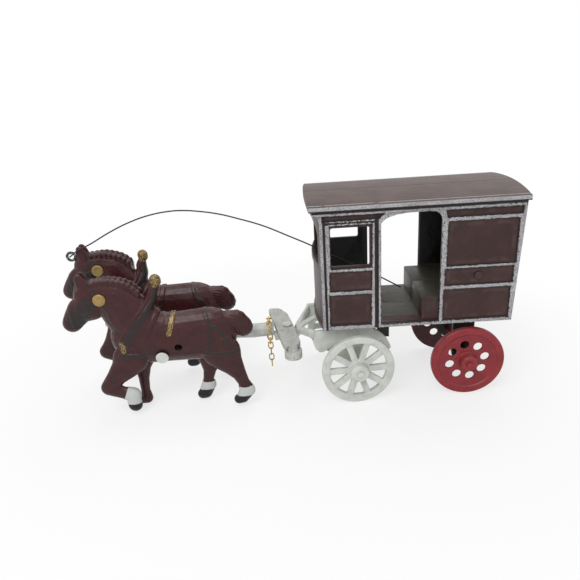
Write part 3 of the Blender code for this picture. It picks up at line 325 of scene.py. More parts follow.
brass = plain_paint("brass_chain", (0.62, 0.42, 0.12), (0.45, 0.29, 0.08), (0.16, 0.10, 0.04),
                    rough=0.28, wear=0.1, dust=0.0, metallic=1.0, grain=0.3)
bridle_paint = plain_paint("bridle_enamel", (0.022, 0.026, 0.023), (0.035, 0.04, 0.036), (0.42, 0.46, 0.41),
                           rough=0.45, wear=0.55, dust=0.0, chip_size=1.4)
print("plain paints ready")

# %% [markdown]
# ## The carriage's paint
# The body is dark brown with silver brushed along the raised beads, so the silver lies only on
# the outermost faces and breaks up at their edges. Painting by place does this without a mask:
# a face is trim when it stands as far out as the beads, give or take some noise. All places are
# in millimetres from the body's front bottom edge: along it, out from its seam, and up.

# %% Places on the body
BODY_HALF_WIDTH = 32.9
BODY_LENGTH = 122.1
BODY_BOTTOM = 52.9
PANEL_FACE = 32.0
# Front, rear, bottom and top of the window, the doorway, the panels and a line over the window.
PANELS = [(5.9, 32.0, 95.0, 123.1), (37.5, 74.9, 55.0, 116.0), (5.0, 31.7, 79.7, 92.9),
          (4.5, 31.3, 55.5, 77.2), (78.5, 122.0, 92.6, 121.7), (77.7, 120.8, 79.5, 90.8),
          (77.2, 119.8, 55.2, 76.9), (78.0, 123.8, 124.2, 128.9), (1.6, 37.0, 126.0, 129.2),
          (3.2, 33.4, 124.15, 124.95)]


def body_place(tree, place):
    """A point's place along, across and up the body."""
    shifted = {0: place, 1: -wagon_frame.translation}
    centred = add_node(tree, "VectorMath", shifted, operation="ADD").outputs[0]
    scaled = add_node(tree, "VectorMath", {0: centred, "Scale": 1 / MM}, operation="SCALE")
    return add_node(tree, "SeparateXYZ", {0: scaled.outputs[0]}).outputs


def panel_depth(x, z):
    """How far inside the nearest panel a point lies, and below zero on a bead."""
    deepest = None
    for left, right, low, high in PANELS:
        across = calc("MINIMUM", calc("SUBTRACT", x, left), calc("SUBTRACT", right, x))
        upward = calc("MINIMUM", calc("SUBTRACT", z, low), calc("SUBTRACT", high, z))
        depth = calc("MINIMUM", across, upward)
        deepest = depth if deepest is None else calc("MAXIMUM", deepest, depth)
    return deepest


print(len(PANELS), "outlines to paint round")

# %% [markdown]
# ## Silver trim
# Silver covers the faces of the beads, the cornice and the eave. Two strips between the beads
# get no silver and carry painted shade, and so does the line under the eave. Noise wanders across
# each limit, so the edge is ragged as a worn brush stroke is, and chips take spots out of the middle.

# %% Silver trim
EAVE_FACE = 36.35
CORNICE_FACE = 34.5
MOULDING_TOP = 131.0
EAVE_BOTTOM = 133.5
# Strips between the beads with no silver, painted dark as painted shade.
SHADED_STRIPS = [(1.6, 3.2), (33.4, 36.0)]


def silver_trim(tree, x, side, z, ragged, brushed):
    """Where the silver is."""
    reach = calc("ADD", side, product(ragged, 1.1))
    uneven = calc("ADD", z, product(ragged, 0.9))
    beads = band(reach, BODY_HALF_WIDTH - 0.3, BODY_HALF_WIDTH + 0.5, 0.08)
    for low, high in SHADED_STRIPS:
        beads = product(beads, rest_of(band(x, low, high, 0.15)))
    eave = product(fade(reach, EAVE_FACE - 0.15, EAVE_FACE),
                   fade(uneven, EAVE_BOTTOM, EAVE_BOTTOM + 0.3))
    moulding = product(band(reach, CORNICE_FACE - 0.25, CORNICE_FACE + 0.5, 0.1),
                       rest_of(fade(uneven, MOULDING_TOP, MOULDING_TOP + 0.3)))
    trim = calc("MAXIMUM", calc("MAXIMUM", beads, eave), moulding)
    chips = effect(tree, CHIPS, Size=0.6, Amount=0.62)
    return product(trim, rest_of(chips), fade(z, BODY_BOTTOM - 0.6, BODY_BOTTOM - 0.2),
                   rest_of(fade(brushed, -0.35, -0.1)))


def painted_shade_lines(x, side, z, ragged, brushed):
    """Painted shade: a dark line beside the silver, round the panels, between the beads and under the eave.
    """
    shade_lines = calc("MAXIMUM", band(side, PANEL_FACE + 0.1, BODY_HALF_WIDTH - 0.35, 0.05),
                 band(brushed, -0.6, 0.55, 0.25))
    for low, high in SHADED_STRIPS:
        shade_lines = calc("MAXIMUM", shade_lines, band(x, low, high, 0.2))
    uneven = calc("ADD", z, product(ragged, 0.9))
    eave_shadow = product(band(uneven, MOULDING_TOP + 0.1, EAVE_BOTTOM + 0.1, 0.2),
                         fade(side, CORNICE_FACE - 0.9, CORNICE_FACE - 0.6))
    outside = fade(side, PANEL_FACE - 1.2, PANEL_FACE - 0.8)
    return product(calc("MAXIMUM", shade_lines, eave_shadow), outside)


print("silver on faces", BODY_HALF_WIDTH, CORNICE_FACE, "and", EAVE_FACE, "mm from the seam")

# %% [markdown]
# ## Inside of the carriage
# The inside is bare black iron with a grey-green floor and seat. Where the doorway was sprayed,
# brown reaches in over the floor and the seat's near end, with a wandering edge. A wall is one
# casting, so one material has to serve both its sides: a test on the place tells them apart.

# %% Inside of the carriage
FRONT_BOW, REAR_BOW, REAR_LEAN = 4.5, 1.9, 0.051
WALL_INSIDE = 30.0
ROOF_INSIDE = 133.6
SEAT_TOP = 71.0
SPRAY_REACH = -21.0
SPRAY_FRONT, SPRAY_REAR = 39.0, 80.0


def cabin(x, side, z):
    """Where a point is inside the walls, whose two ends are bowed."""
    bulge = rest_of(calc("POWER", calc("DIVIDE", side, BODY_HALF_WIDTH), 2.0))
    from_front = calc("ADD", x, product(bulge, FRONT_BOW))
    lean = calc("ADD", product(calc("SUBTRACT", z, BODY_BOTTOM), REAR_LEAN), BODY_LENGTH)
    to_rear = calc("SUBTRACT", calc("ADD", product(bulge, REAR_BOW), lean), x)
    walls = rest_of(fade(side, WALL_INSIDE - 0.1, WALL_INSIDE + 0.1))
    below_roof = rest_of(fade(z, ROOF_INSIDE, ROOF_INSIDE + 0.8))
    return product(walls, fade(from_front, 1.6, 2.0), fade(to_rear, 1.6, 2.0), below_roof)


def cabin_tone(place, x, y, z):
    """Black iron, a grey-green floor and seat, and brown overspray near the doorway."""
    low = rest_of(fade(z, SEAT_TOP + 0.5, SEAT_TOP + 1.5))
    iron_tone = blend(low, (0.011, 0.010, 0.0095), (0.062, 0.056, 0.042))
    wander = product(calc("SUBTRACT", noise(place, 6.0, 4.0), 0.5), 14.0)
    near = fade(calc("ADD", y, wander), SPRAY_REACH - 0.6, SPRAY_REACH + 0.6)
    thinner = product(fade(z, BODY_BOTTOM + 5.0, BODY_BOTTOM + 13.0), 0.6)
    spray = product(rest_of(near), band(x, SPRAY_FRONT, SPRAY_REAR, 1.0),
                    rest_of(fade(z, SEAT_TOP - 2.0, SEAT_TOP - 1.2)), rest_of(thinner))
    return blend(spray, iron_tone, (0.048, 0.018, 0.016))


print("cabin from", BODY_BOTTOM, "to", ROOF_INSIDE, "mm up")

# %% [markdown]
# ## Brown enamel over the whole body
# The layers go on in the order of the real ones, with painted shade among them: brown with scuffs
# and rubbed panel edges, dark lines of painted shade, dust on the roof, the silver, and last the inside and
# the underside.

# %% Carriage paint
SCUFF_TONE = (0.12, 0.09, 0.085)
ROOF_START, ROOF_FULL = 132.0, 134.0


def carriage_paint():
    """Brown enamel, painted shade beside the beads, silver on the beads, dust on the roof and black iron
    inside.
    """
    material, tree, shader = new_paint("maroon_enamel")
    place = object_place(tree)
    x, y, z = body_place(tree, place)
    side = calc("ABSOLUTE", y)
    ragged = calc("SUBTRACT", noise(place, 1.3, 4.0, 0.7), 0.5)
    depth = panel_depth(x, z)
    brushed = calc("ADD", depth, product(ragged, 2.8))
    trim = silver_trim(tree, x, side, z, ragged, brushed)

    patches = fade(noise(place, 14.0, 4.0), 0.35, 0.65)
    colours = blend(patches, (0.042, 0.0200, 0.0185), (0.056, 0.0265, 0.0240))
    scuffs = fade(noise(place, 3.0, 5.0, 0.7), 0.56, 0.75)
    colours = blend(product(scuffs, 0.22), colours, SCUFF_TONE)
    rubbed = product(band(depth, 1.4, 3.2, 1.4), fade(noise(place, 8.0), 0.4, 0.65), 0.35)
    colours = blend(rubbed, colours, SCUFF_TONE)
    # Painted shade: near-black lines beside the silver, round the panels, between the beads and under the
    # eave.
    shade_lines = product(painted_shade_lines(x, side, z, ragged, brushed), 0.8)
    colours = blend(shade_lines, colours, (0.016, 0.012, 0.012))
    roof = product(fade(facing_up(tree), 0.6, 0.9), fade(z, ROOF_START, ROOF_FULL))
    roof_tone = blend(patches, (0.085, 0.059, 0.0545), (0.108, 0.076, 0.070))
    colours = blend(roof, colours, roof_tone)
    silver_tone = blend(patches, (0.56, 0.56, 0.58), (0.46, 0.45, 0.47))
    colours = blend(trim, colours, silver_tone)
    colours = blend(cabin(x, side, z), colours, cabin_tone(place, x, y, z))
    under = rest_of(fade(z, BODY_BOTTOM - 0.3, BODY_BOTTOM + 0.2))
    colours = blend(under, colours, (0.016, 0.014, 0.013))

    roughness = calc("ADD", calc("ADD", product(scuffs, 0.2), 0.38), product(roof, 0.12))
    height = calc("ADD", effect(tree, SKIN, Waves=1.0, Grain=0.8), product(trim, 0.5))
    finish_paint(shader, colours, roughness, 0.25, height, 0.25)
    return material


carriage = carriage_paint()
print("carriage paint has", len(carriage.node_tree.nodes), "nodes")

# %% [markdown]
# ## Modelling helpers
# The helpers below do what a person does in the viewport: clear the selection, add a primitive,
# go into edit mode, and apply a modifier. Pieces are modelled at the origin in millimetres, and
# `install` moves the finished mesh to its place, so the object itself stays at the origin.

# %% Selecting and editing
SAME_POINT = 0.001


def clear_selection():
    """Nothing selected, in object mode."""
    if bpy.context.object and bpy.context.object.mode != "OBJECT":
        bpy.ops.object.mode_set(mode="OBJECT")
    bpy.ops.object.select_all(action="DESELECT")


def only(obj):
    """Selects one object and makes it the active one."""
    clear_selection()
    obj.select_set(True)
    bpy.context.view_layer.objects.active = obj


def open_mesh(obj):
    """Goes into edit mode with the whole mesh selected."""
    only(obj)
    bpy.ops.object.mode_set(mode="EDIT")
    bpy.ops.mesh.select_all(action="SELECT")


def close_mesh():
    """Leaves edit mode."""
    bpy.ops.object.mode_set(mode="OBJECT")


def new_object(name, data):
    """An object in the scene that holds the given data."""
    obj = bpy.data.objects.new(name, data)
    bpy.context.scene.collection.objects.link(obj)
    return obj


# %% Shaping


def apply_modifier(obj, kind, **settings):
    """Adds a modifier, sets it up and applies it."""
    only(obj)
    modifier = obj.modifiers.new(kind.title(), kind)
    for name, value in settings.items():
        setattr(modifier, name, value)
    bpy.ops.object.modifier_apply(modifier=modifier.name)
    return obj


def round_off(obj, voxel, passes=3):
    """Turns overlapping forms into one skin with soft edges, as sand casting leaves them."""
    apply_modifier(obj, "REMESH", mode="VOXEL", voxel_size=voxel, use_smooth_shade=True)
    return apply_modifier(obj, "SMOOTH", factor=0.5, iterations=passes)


def join_all(pieces):
    """Joins objects into the first of them."""
    only(pieces[0])
    for piece in pieces:
        piece.select_set(True)
    bpy.ops.object.join()
    return pieces[0]


def settle(obj):
    """Puts an object's place, turn and size into its mesh."""
    only(obj)
    bpy.ops.object.transform_apply(location=True, rotation=True, scale=True)
    return obj


def cylinder_across(spot, radius, depth, sides):
    """A cylinder along the Y axis, centred on a point."""
    clear_selection()
    bpy.ops.mesh.primitive_cylinder_add(vertices=sides, radius=radius, depth=depth, location=spot,
                                        rotation=(math.pi / 2, 0, 0))
    return bpy.context.object


def cut_away(obj, cutters):
    """Cuts one object by others, and removes those."""
    for cutter in cutters:
        apply_modifier(obj, "BOOLEAN", operation="DIFFERENCE", solver="EXACT", object=cutter)
        bpy.data.objects.remove(cutter)


print("shaping helpers ready")

# %% Copying and installing


def install(obj, name, place, body, material, node):
    """Moves a finished mesh to its place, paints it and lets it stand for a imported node."""
    settle(obj)
    obj.data.transform(place)
    obj.name = name
    obj.data.name = name
    obj.data.materials.clear()
    obj.data.materials.append(material)
    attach(obj, body)
    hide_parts(node)
    print("made", name, len(obj.data.polygons), "faces")


def own_copy(obj):
    """A copy with its own mesh."""
    twin = obj.copy()
    twin.data = obj.data.copy()
    bpy.context.scene.collection.objects.link(twin)
    return twin


def casting_of(node):
    """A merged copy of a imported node, in millimetres, for rounding and beveling."""
    source = frame["nodes"][node]
    twin = new_object(node + "_casting", source.data.copy())
    twin.data.transform(Matrix.Scale(1 / MM, 4))
    open_mesh(twin)
    bpy.ops.mesh.remove_doubles(threshold=SAME_POINT)
    close_mesh()
    return twin


WORLD = Matrix.Scale(MM, 4)
print("pieces are modelled at", MM, "m to the unit")

# %% [markdown]
# ## Carriage body
# The two halves have the right panels, beads and openings already. A bevel of a little over a
# quarter of a millimetre takes the knife edge off every bead, as the mould and the paint do. It
# is applied to a merged copy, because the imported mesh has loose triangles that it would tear.

# %% Carriage body
BODY_BEVEL = 0.28
SAME_FACE = math.radians(1.0)
BEVEL_ANGLE = math.radians(40)
SHARP_ANGLE = math.radians(32)
for half in ("near", "far"):
    node = "body_%s_half" % half
    body = casting_of(node)
    open_mesh(body)
    bpy.ops.mesh.dissolve_limited(angle_limit=SAME_FACE)
    close_mesh()
    apply_modifier(body, "BEVEL", width=BODY_BEVEL, segments=2, limit_method="ANGLE",
                   angle_limit=BEVEL_ANGLE, use_clamp_overlap=True, harden_normals=False)
    only(body)
    bpy.ops.object.shade_smooth_by_angle(angle=SHARP_ANGLE)
    install(body, "carriage_%s_side" % half, WORLD, "wagon", carriage, node)

# %% [markdown]
# ## Truck, pole, evener and pins
# These are plain castings whose shape is right, but whose corners are too sharp for iron poured
# in sand. A voxel remesh melts each into one skin, and a few smoothing passes round its edges.
# The voxel is chosen for each piece, so a thin pin keeps its shape and a big one stays light.

# %% Rounded castings
# Each white piece with its body and the size of its voxels.
WHITE_NODES = {"front_truck": ("front_truck", 0.42), "pole": ("drawbar", 0.34),
               "cross_rod": ("drawbar", 0.26), "front_axle": ("front_truck", 0.26),
               "tongue_rivet": ("front_truck", 0.2), "evener": ("evener", 0.34)}
DARK_VOXEL = 0.26
CURL = (-2.2, -30.4, 41.3)
CURL_GROOVE = 3.9
CURL_GROOVE_HALF = 0.7


def curl_groove():
    """Ring groove on the evener's curled end."""
    spot = (evener_frame @ Vector(CURL)) / MM
    clear_selection()
    bpy.ops.mesh.primitive_torus_add(major_radius=CURL_GROOVE, minor_radius=CURL_GROOVE_HALF,
                                     major_segments=40, minor_segments=12, location=spot)
    return settle(bpy.context.object)


for node, (body_name, voxel) in WHITE_NODES.items():
    piece = round_off(casting_of(node), voxel)
    if node == "evener":
        cut_away(piece, [curl_groove()])
    paint = worn_white if node == "evener" else white_paint
    install(piece, node + "_casting", WORLD, body_name, paint, node)
for node, paint, slot in (("king_pin", iron_paint, "dark_iron"), ("rear_axle", red_paint, "dark_iron"),
                          ("body_tie_rivet", brown_paint, "maroon_enamel")):
    piece = round_off(casting_of(node), DARK_VOXEL)
    install(piece, node + "_casting", WORLD, "wagon", paint, node)

# %% [markdown]
# ## Wheels
# A wheel is a turned shape first. One vertex is extruded along the profile and spun round the
# axle, which gives the rim, the web and the hub in one closed skin. The front wheel then loses
# ten wedges between its spokes, and the rear wheel eight round holes. Rounding comes last, so
# that spokes flow into the rim as they do on a casting.

# %% Turned shapes
WHEEL_RADIUS = 24.35
FRONT_WHEEL_FACE = 38.0
REAR_WHEEL_FACE = 34.25
RIM_WIDTH = 4.0
AXLE_BORE = 1.7
THROUGH = 20.0


def turned(profile, steps=96):
    """A closed profile of (radius, along Y) points spun round the Y axis."""
    clear_selection()
    bpy.ops.mesh.primitive_plane_add(size=1.0)
    obj = bpy.context.object
    open_mesh(obj)
    bpy.ops.mesh.merge(type="CENTER")
    bpy.ops.transform.translate(value=(profile[0][0], profile[0][1], 0))
    for start, end in zip(profile, profile[1:] + profile[:1]):
        step = (end[0] - start[0], end[1] - start[1], 0)
        bpy.ops.mesh.extrude_region_move(TRANSFORM_OT_translate={"value": step})
    bpy.ops.mesh.select_all(action="SELECT")
    bpy.ops.mesh.remove_doubles(threshold=SAME_POINT)
    bpy.ops.mesh.spin(steps=steps, angle=2 * math.pi, center=(0, 0, 0), axis=(0, 1, 0))
    bpy.ops.mesh.select_all(action="SELECT")
    bpy.ops.mesh.remove_doubles(threshold=SAME_POINT)
    bpy.ops.mesh.normals_make_consistent(inside=False)
    close_mesh()
    return obj


print("wheels are", 2 * WHEEL_RADIUS, "mm across")

# %% Front wheel
FRONT_RIM = 5.0
FRONT_HUB = 6.2
FRONT_HUB_FACE = -5.35
FRONT_HUB_BACK = 13.2
SPOKES = 10
SPOKE_HALF = 2.1


def spoke_gap(number):
    """Wedge between two spokes."""
    inner, outer = FRONT_HUB + 1.2, WHEEL_RADIUS - FRONT_RIM - 0.1
    pitch = 2 * math.pi / SPOKES
    first, second, middle = pitch * number, pitch * (number + 1), pitch * (number + 0.5)
    walls = [((-math.sin(first), 0, math.cos(first)), SPOKE_HALF),
             ((math.sin(second), 0, -math.cos(second)), SPOKE_HALF),
             ((math.cos(middle), 0, math.sin(middle)), inner)]
    wedge = settle(cylinder_across((0, 0, 0), outer, THROUGH, sides=64))
    open_mesh(wedge)
    for normal, away in walls:
        bpy.ops.mesh.select_all(action="SELECT")
        spot = [away * part for part in normal]
        bpy.ops.mesh.bisect(plane_co=spot, plane_no=normal, use_fill=True, clear_inner=True)
    close_mesh()
    return wedge


def front_wheel():
    """Spoked wheel, outer face towards -Y, on the Y axis."""
    inner = WHEEL_RADIUS - FRONT_RIM
    profile = [(AXLE_BORE, FRONT_HUB_FACE), (FRONT_HUB - 0.9, FRONT_HUB_FACE),
               (FRONT_HUB, FRONT_HUB_FACE + 1.0), (FRONT_HUB + 0.3, 0.9), (inner, 0.9),
               (inner + 0.4, 0.0), (WHEEL_RADIUS - 0.4, 0.0),
               (WHEEL_RADIUS, 0.4), (WHEEL_RADIUS, RIM_WIDTH), (inner, RIM_WIDTH), (inner - 0.3, 3.7),
               (FRONT_HUB - 1.0, 3.7), (FRONT_HUB - 1.6, FRONT_HUB_BACK), (AXLE_BORE, FRONT_HUB_BACK)]
    wheel = turned(profile)
    cut_away(wheel, [spoke_gap(number) for number in range(SPOKES)])
    return round_off(wheel, voxel=0.34, passes=4)


front = front_wheel()
print("front wheel:", len(front.data.polygons), "faces")

# %% Rear wheel
REAR_RIM = 4.5
REAR_HUB = 5.5
REAR_HUB_FACE = -4.65
REAR_HUB_BACK = 12.95
REAR_HOLES = 8
REAR_HOLE_RADIUS = 3.0
REAR_HOLE_TURN = math.radians(11)
REAR_HOLE_CIRCLE = 11.85


def rear_wheel():
    """Disc wheel with a stepped face, a raised hub and a ring of round holes."""
    inner = WHEEL_RADIUS - REAR_RIM
    profile = [(AXLE_BORE, REAR_HUB_FACE), (REAR_HUB - 1.2, REAR_HUB_FACE),
               (REAR_HUB, REAR_HUB_FACE + 1.4), (REAR_HUB + 0.6, 1.2), (inner - 2.4, 1.2),
               (inner - 0.6, 0.9), (inner, 0.0), (WHEEL_RADIUS - 0.5, 0.0),
               (WHEEL_RADIUS, 0.5), (WHEEL_RADIUS, RIM_WIDTH), (inner, RIM_WIDTH), (inner - 0.6, 3.4),
               (REAR_HUB - 1.0, 3.4), (REAR_HUB - 1.6, REAR_HUB_BACK), (AXLE_BORE, REAR_HUB_BACK)]
    wheel = turned(profile)
    holes = []
    for number in range(REAR_HOLES):
        turn = 2 * math.pi * number / REAR_HOLES + REAR_HOLE_TURN
        spot = (REAR_HOLE_CIRCLE * math.cos(turn), 0, REAR_HOLE_CIRCLE * math.sin(turn))
        holes.append(cylinder_across(spot, REAR_HOLE_RADIUS, THROUGH, sides=32))
    cut_away(wheel, holes)
    return round_off(wheel, voxel=0.36, passes=4)


rear = rear_wheel()
print("rear wheel:", len(rear.data.polygons), "faces")

# %% Four wheels
REAR_AXLE_X = 95.3
HALF_TURN = Matrix.Rotation(math.pi, 4, "Z")
FAR_HOLES_TURN = Matrix.Rotation(2 * REAR_HOLE_TURN, 4, "Y")
# The far rear wheel gets the darker red: dirt and painted shade.
rear_paint = {"near": red_paint, "far": red_dirt_and_shade_paint}
for side, label, turn in ((-1, "near", Matrix.Identity(4)), (1, "far", HALF_TURN)):
    hub = truck_frame @ Matrix.Translation((0, side * FRONT_WHEEL_FACE, WHEEL_RADIUS)) @ turn
    install(own_copy(front), "spoked_wheel_" + label, hub, label + "_front_wheel", white_paint,
            "front_wheel_" + label)
    hub = wagon_frame @ Matrix.Translation((REAR_AXLE_X, side * REAR_WHEEL_FACE, WHEEL_RADIUS)) @ turn
    hub = hub @ FAR_HOLES_TURN if side > 0 else hub
    install(own_copy(rear), "disc_wheel_" + label, hub, label + "_rear_wheel", rear_paint[label],
            "rear_wheel_" + label)
bpy.data.objects.remove(front)
bpy.data.objects.remove(rear)

# %% [markdown]
# ## The horse casting
# Both horses come from one pattern. The body is built like a clay figure: chains of flattened
# balls give the torso, the neck, the head and the legs, a hull joins each ball to the next, and a
# voxel remesh melts them into one skin. Harness and hair are low relief, so they are pushed out
# of that skin in code, and the same distances paint them.

# %% Forms of the horse
EAR, LEG = 2.9, 6.0
# Chains of (along, up, radius, half thickness) balls.
FORMS = {
    "torso": [(-51.5, 54.0, 18.3, 9.4), (-65.0, 53.5, 17.8, 9.2), (-80.0, 53.0, 17.2, 9.3),
              (-92.0, 55.0, 19.5, 9.0), (-99.5, 55.0, 17.5, 8.4)],
    "neck": [(-96.0, 62.0, 17.5, 8.4), (-103.0, 72.0, 16.3, 7.4), (-109.5, 81.5, 13.8, 6.4),
             (-118.0, 87.5, 10.0, 5.4)],
    "head": [(-118.0, 87.5, 10.0, 5.4), (-126.5, 86.5, 9.0, 5.4), (-126.0, 80.0, 10.6, 5.6),
             (-132.5, 77.0, 8.6, 5.0), (-137.2, 71.5, 7.2, 4.6), (-139.6, 68.3, 6.4, 4.5)],
    "hames": [(-92.0, 74.0, 5.0, 7.0), (-87.0, 82.0, 3.6, 4.0), (-84.0, 88.5, 2.6, 2.8),
              (-82.6, 92.0, 2.4, 2.5)],
    "hames ball": [(-82.1, 93.6, 3.6, 3.3), (-82.3, 94.3, 3.6, 3.3)],
    "tail": [(-40.0, 62.5, 6.5, 5.0), (-34.0, 61.0, 8.2, 4.8), (-29.6, 56.8, 6.9, 4.5),
             (-29.6, 54.6, 4.9, 3.8)],
    "forelock": [(-128.0, 94.0, 3.4, 1.9), (-131.6, 91.8, 2.6, 1.6)],
    "ears": [(-127.0, 92.0, 4.2, 1.9), (-128.6, 97.4, 3.5, 1.5), (-129.2, 99.8, 2.5, 1.1)],
    "near fore leg": [(-105.0, 42.0, 11.5, 4.2), (-109.0, 36.5, 9.0, 3.9), (-116.0, 29.5, 6.4, 3.6),
                      (-122.4, 21.4, 5.7, 3.3), (-114.0, 17.0, 4.5, 2.9), (-107.4, 14.8, 5.2, 3.3),
                      (-107.4, 11.0, 4.6, 3.2), (-107.2, 6.9, 4.9, 3.5)],
    "near hind leg": [(-45.0, 43.0, 13.0, 4.6), (-42.0, 37.0, 10.0, 4.2), (-38.5, 31.5, 7.4, 3.8),
                      (-34.8, 24.8, 4.9, 3.3), (-32.3, 18.3, 4.0, 2.9), (-30.3, 11.8, 5.3, 3.3),
                      (-33.8, 6.2, 4.1, 3.4), (-36.5, 5.2, 3.5, 3.0)],
    "far fore leg": [(-100.0, 42.0, 11.0, 4.2), (-101.0, 30.0, 5.6, 3.6), (-101.7, 20.0, 3.7, 3.0),
                     (-102.0, 10.5, 3.2, 2.8), (-101.8, 4.4, 4.2, 3.5), (-106.0, 3.2, 3.0, 2.9)],
    "far hind leg": [(-54.0, 42.0, 13.0, 4.4), (-54.2, 32.0, 8.2, 3.9), (-55.6, 23.5, 4.6, 3.2),
                     (-57.4, 15.8, 3.6, 2.9), (-57.4, 11.4, 4.9, 3.2), (-60.4, 5.3, 4.7, 3.5),
                     (-62.6, 4.1, 3.7, 3.1)],
}
OFFSETS = {"ears": (-EAR, EAR), "near fore leg": (-LEG,), "near hind leg": (-LEG,),
           "far fore leg": (LEG,), "far hind leg": (LEG,)}
print("forms:", len(FORMS))

# %% Melting the figure
CREST = [(-122.0, 95.2), (-117.1, 96.2), (-111.7, 96.4), (-106.9, 95.6), (-102.1, 94.0),
         (-98.0, 91.6), (-94.6, 87.6)]
BRAIDS = 10
BRAID_RADIUS = 2.3
BRAID_OFFSET = 2.7


def horse_forms():
    """Each chain of balls with its offset from the middle."""
    return [(chain, offset) for name, chain in FORMS.items() for offset in OFFSETS.get(name, (0.0,))]


def along_line(points, count):
    """Evenly spaced points along a line."""
    line = np.array(points)
    lengths = np.concatenate([[0.0], np.cumsum(np.linalg.norm(np.diff(line, axis=0), axis=1))])
    wanted = np.linspace(0.0, lengths[-1], count)
    return [tuple(float(np.interp(w, lengths, line[:, k])) for k in range(2)) for w in wanted]


def braid_forms():
    """Knots of the plaited mane along the crest, on both sides."""
    forms = []
    for along, up in along_line(CREST, BRAIDS):
        knot = [(along, up - 0.6, BRAID_RADIUS, 1.8), (along + 0.5, up - 2.6, 1.5, 1.4)]
        forms += [(knot, -BRAID_OFFSET), (knot, BRAID_OFFSET)]
    return forms


def add_ball(ball, offset):
    """A flattened ball of the figure."""
    along, up, radius, half = ball
    bpy.ops.mesh.primitive_uv_sphere_add(segments=20, ring_count=12, radius=1.0,
                                         location=(along, offset, up), scale=(radius, half, radius))
    return bpy.context.object


def hulled(first, second, offset):
    """The hull round two balls."""
    clear_selection()
    pair = settle(join_all([add_ball(first, offset), add_ball(second, offset)]))
    open_mesh(pair)
    bpy.ops.mesh.convex_hull()
    close_mesh()
    return pair


def horse_figure():
    """All the forms melted into one skin."""
    pieces = []
    for chain, offset in horse_forms() + braid_forms():
        pieces += [hulled(first, second, offset) for first, second in zip(chain, chain[1:])]
    return round_off(join_all(pieces), voxel=0.44, passes=2)


figure = horse_figure()
print("horse figure:", len(figure.data.polygons), "faces")

# %% [markdown]
# ## Harness, hair and features in relief
# Each strap is a line on the side of the horse with a width and a height. A point of the skin is
# on the strap when it is near that line, so one distance raises it and also marks it for paint.
# Marks are stored as attributes on the mesh, one for each colour of paint.

# %% Straps
# Each strap has its paint, its line along and up the horse, its width and how far it stands out.
STRAPS = [
    ("harness_and_shade", [(-80.9, 91.0), (-82.2, 86.5), (-84.1, 81.2), (-89.1, 74.4), (-94.2, 68.8), (-99.2, 63.6),
                 (-103.5, 57.9), (-105.7, 52.3)], 4.4, 0.55),
    (None, [(-80.2, 77.8), (-84.5, 70.8), (-88.9, 63.7), (-92.5, 56.5)], 2.6, 0.7),
    (None, [(-86.5, 89.5), (-88.6, 82.5), (-93.4, 75.6), (-98.6, 69.6), (-104.0, 63.5),
            (-108.5, 57.0)], 1.6, 0.45),
    ("harness_and_shade", [(-110.3, 46.5), (-104.4, 45.8), (-93.5, 44.9), (-87.6, 44.4)], 2.6, 0.4),
    (None, [(-79.2, 43.1), (-68.1, 42.9), (-54.4, 43.2)], 2.4, 0.4),
    ("harness_and_shade", [(-54.4, 43.2), (-34.6, 43.0)], 2.4, 0.4),
    (None, [(-76.5, 77.5), (-78.6, 68.5), (-80.8, 59.3), (-83.0, 49.5)], 4.4, 0.4),
    ("gilt", [(-73.2, 76.2), (-74.0, 70.0), (-75.6, 63.0), (-77.0, 59.2)], 3.3, 0.8),
    ("harness_and_shade", [(-54.8, 75.7), (-52.3, 68.2), (-50.1, 61.9), (-51.6, 52.1), (-53.6, 44.1)], 2.1, 0.35),
    ("harness_and_shade", [(-50.1, 62.2), (-46.3, 61.0), (-42.1, 54.2), (-37.6, 47.1)], 2.1, 0.35),
    ("harness_and_shade", [(-138.8, 79.6), (-137.6, 73.3), (-137.0, 65.6)], 2.0, 0.4),
    ("harness_and_shade", [(-120.0, 84.0), (-125.6, 83.0), (-132.7, 76.6), (-136.9, 72.3)], 1.9, 0.35),
    ("harness_and_shade", [(-119.0, 86.0), (-121.6, 91.5), (-123.0, 96.5)], 1.6, 0.3),
    ("harness_and_shade", [(-117.6, 82.0), (-113.5, 75.5), (-113.0, 70.0)], 1.5, 0.3),
    ("harness_and_shade", [(-130.2, 80.2), (-129.6, 79.8)], 8.0, 0.45),
    ("harness_and_shade", [(-127.0, 80.0), (-132.0, 76.0), (-135.5, 70.5)], 11.5, 0.0),
    ("worn gilt", [(-108.6, 53.6), (-107.4, 49.4)], 4.0, 0.35),
    # The nostril and the mouth line: hollows painted as dark as the harness, as painted shade.
    ("harness_and_shade", [(-143.3, 73.1), (-142.7, 72.4)], 1.8, -0.7),
    ("harness_and_shade", [(-144.5, 67.4), (-140.0, 66.3), (-133.0, 66.0)], 0.9, -0.5),
    ("gilt", [(-82.1, 93.6), (-82.3, 95.2)], 7.6, 0.0),
]
print("straps and marks:", len(STRAPS))

# %% Where the relief and the marks are
FORE_LEG, HIND_LEG, FAR_HIND_LEG = -98.0, -48.0, -75.0
FORE_SOCK_TOP, HIND_SOCK_TOP, FAR_SOCK_TOP = 21.0, 15.6, 14.6
FORE_HOOF_TOP, HIND_HOOF_TOP = 8.9, 8.6


def line_distance(points, line):
    """Distance of each point from a line of short straight stretches."""
    best = np.full(len(points), 1e9)
    for start, end in zip(line, line[1:]):
        a, b = np.array(start), np.array(end)
        step = b - a
        share = np.clip((points - a) @ step / (step @ step), 0, 1)
        best = np.minimum(best, np.linalg.norm(points - a - share[:, None] * step, axis=1))
    return best


def smooth_step(value, low, high):
    """Rises smoothly from 0 to 1 between two limits."""
    share = np.clip((value - low) / (high - low), 0, 1)
    return share * share * (3 - 2 * share)


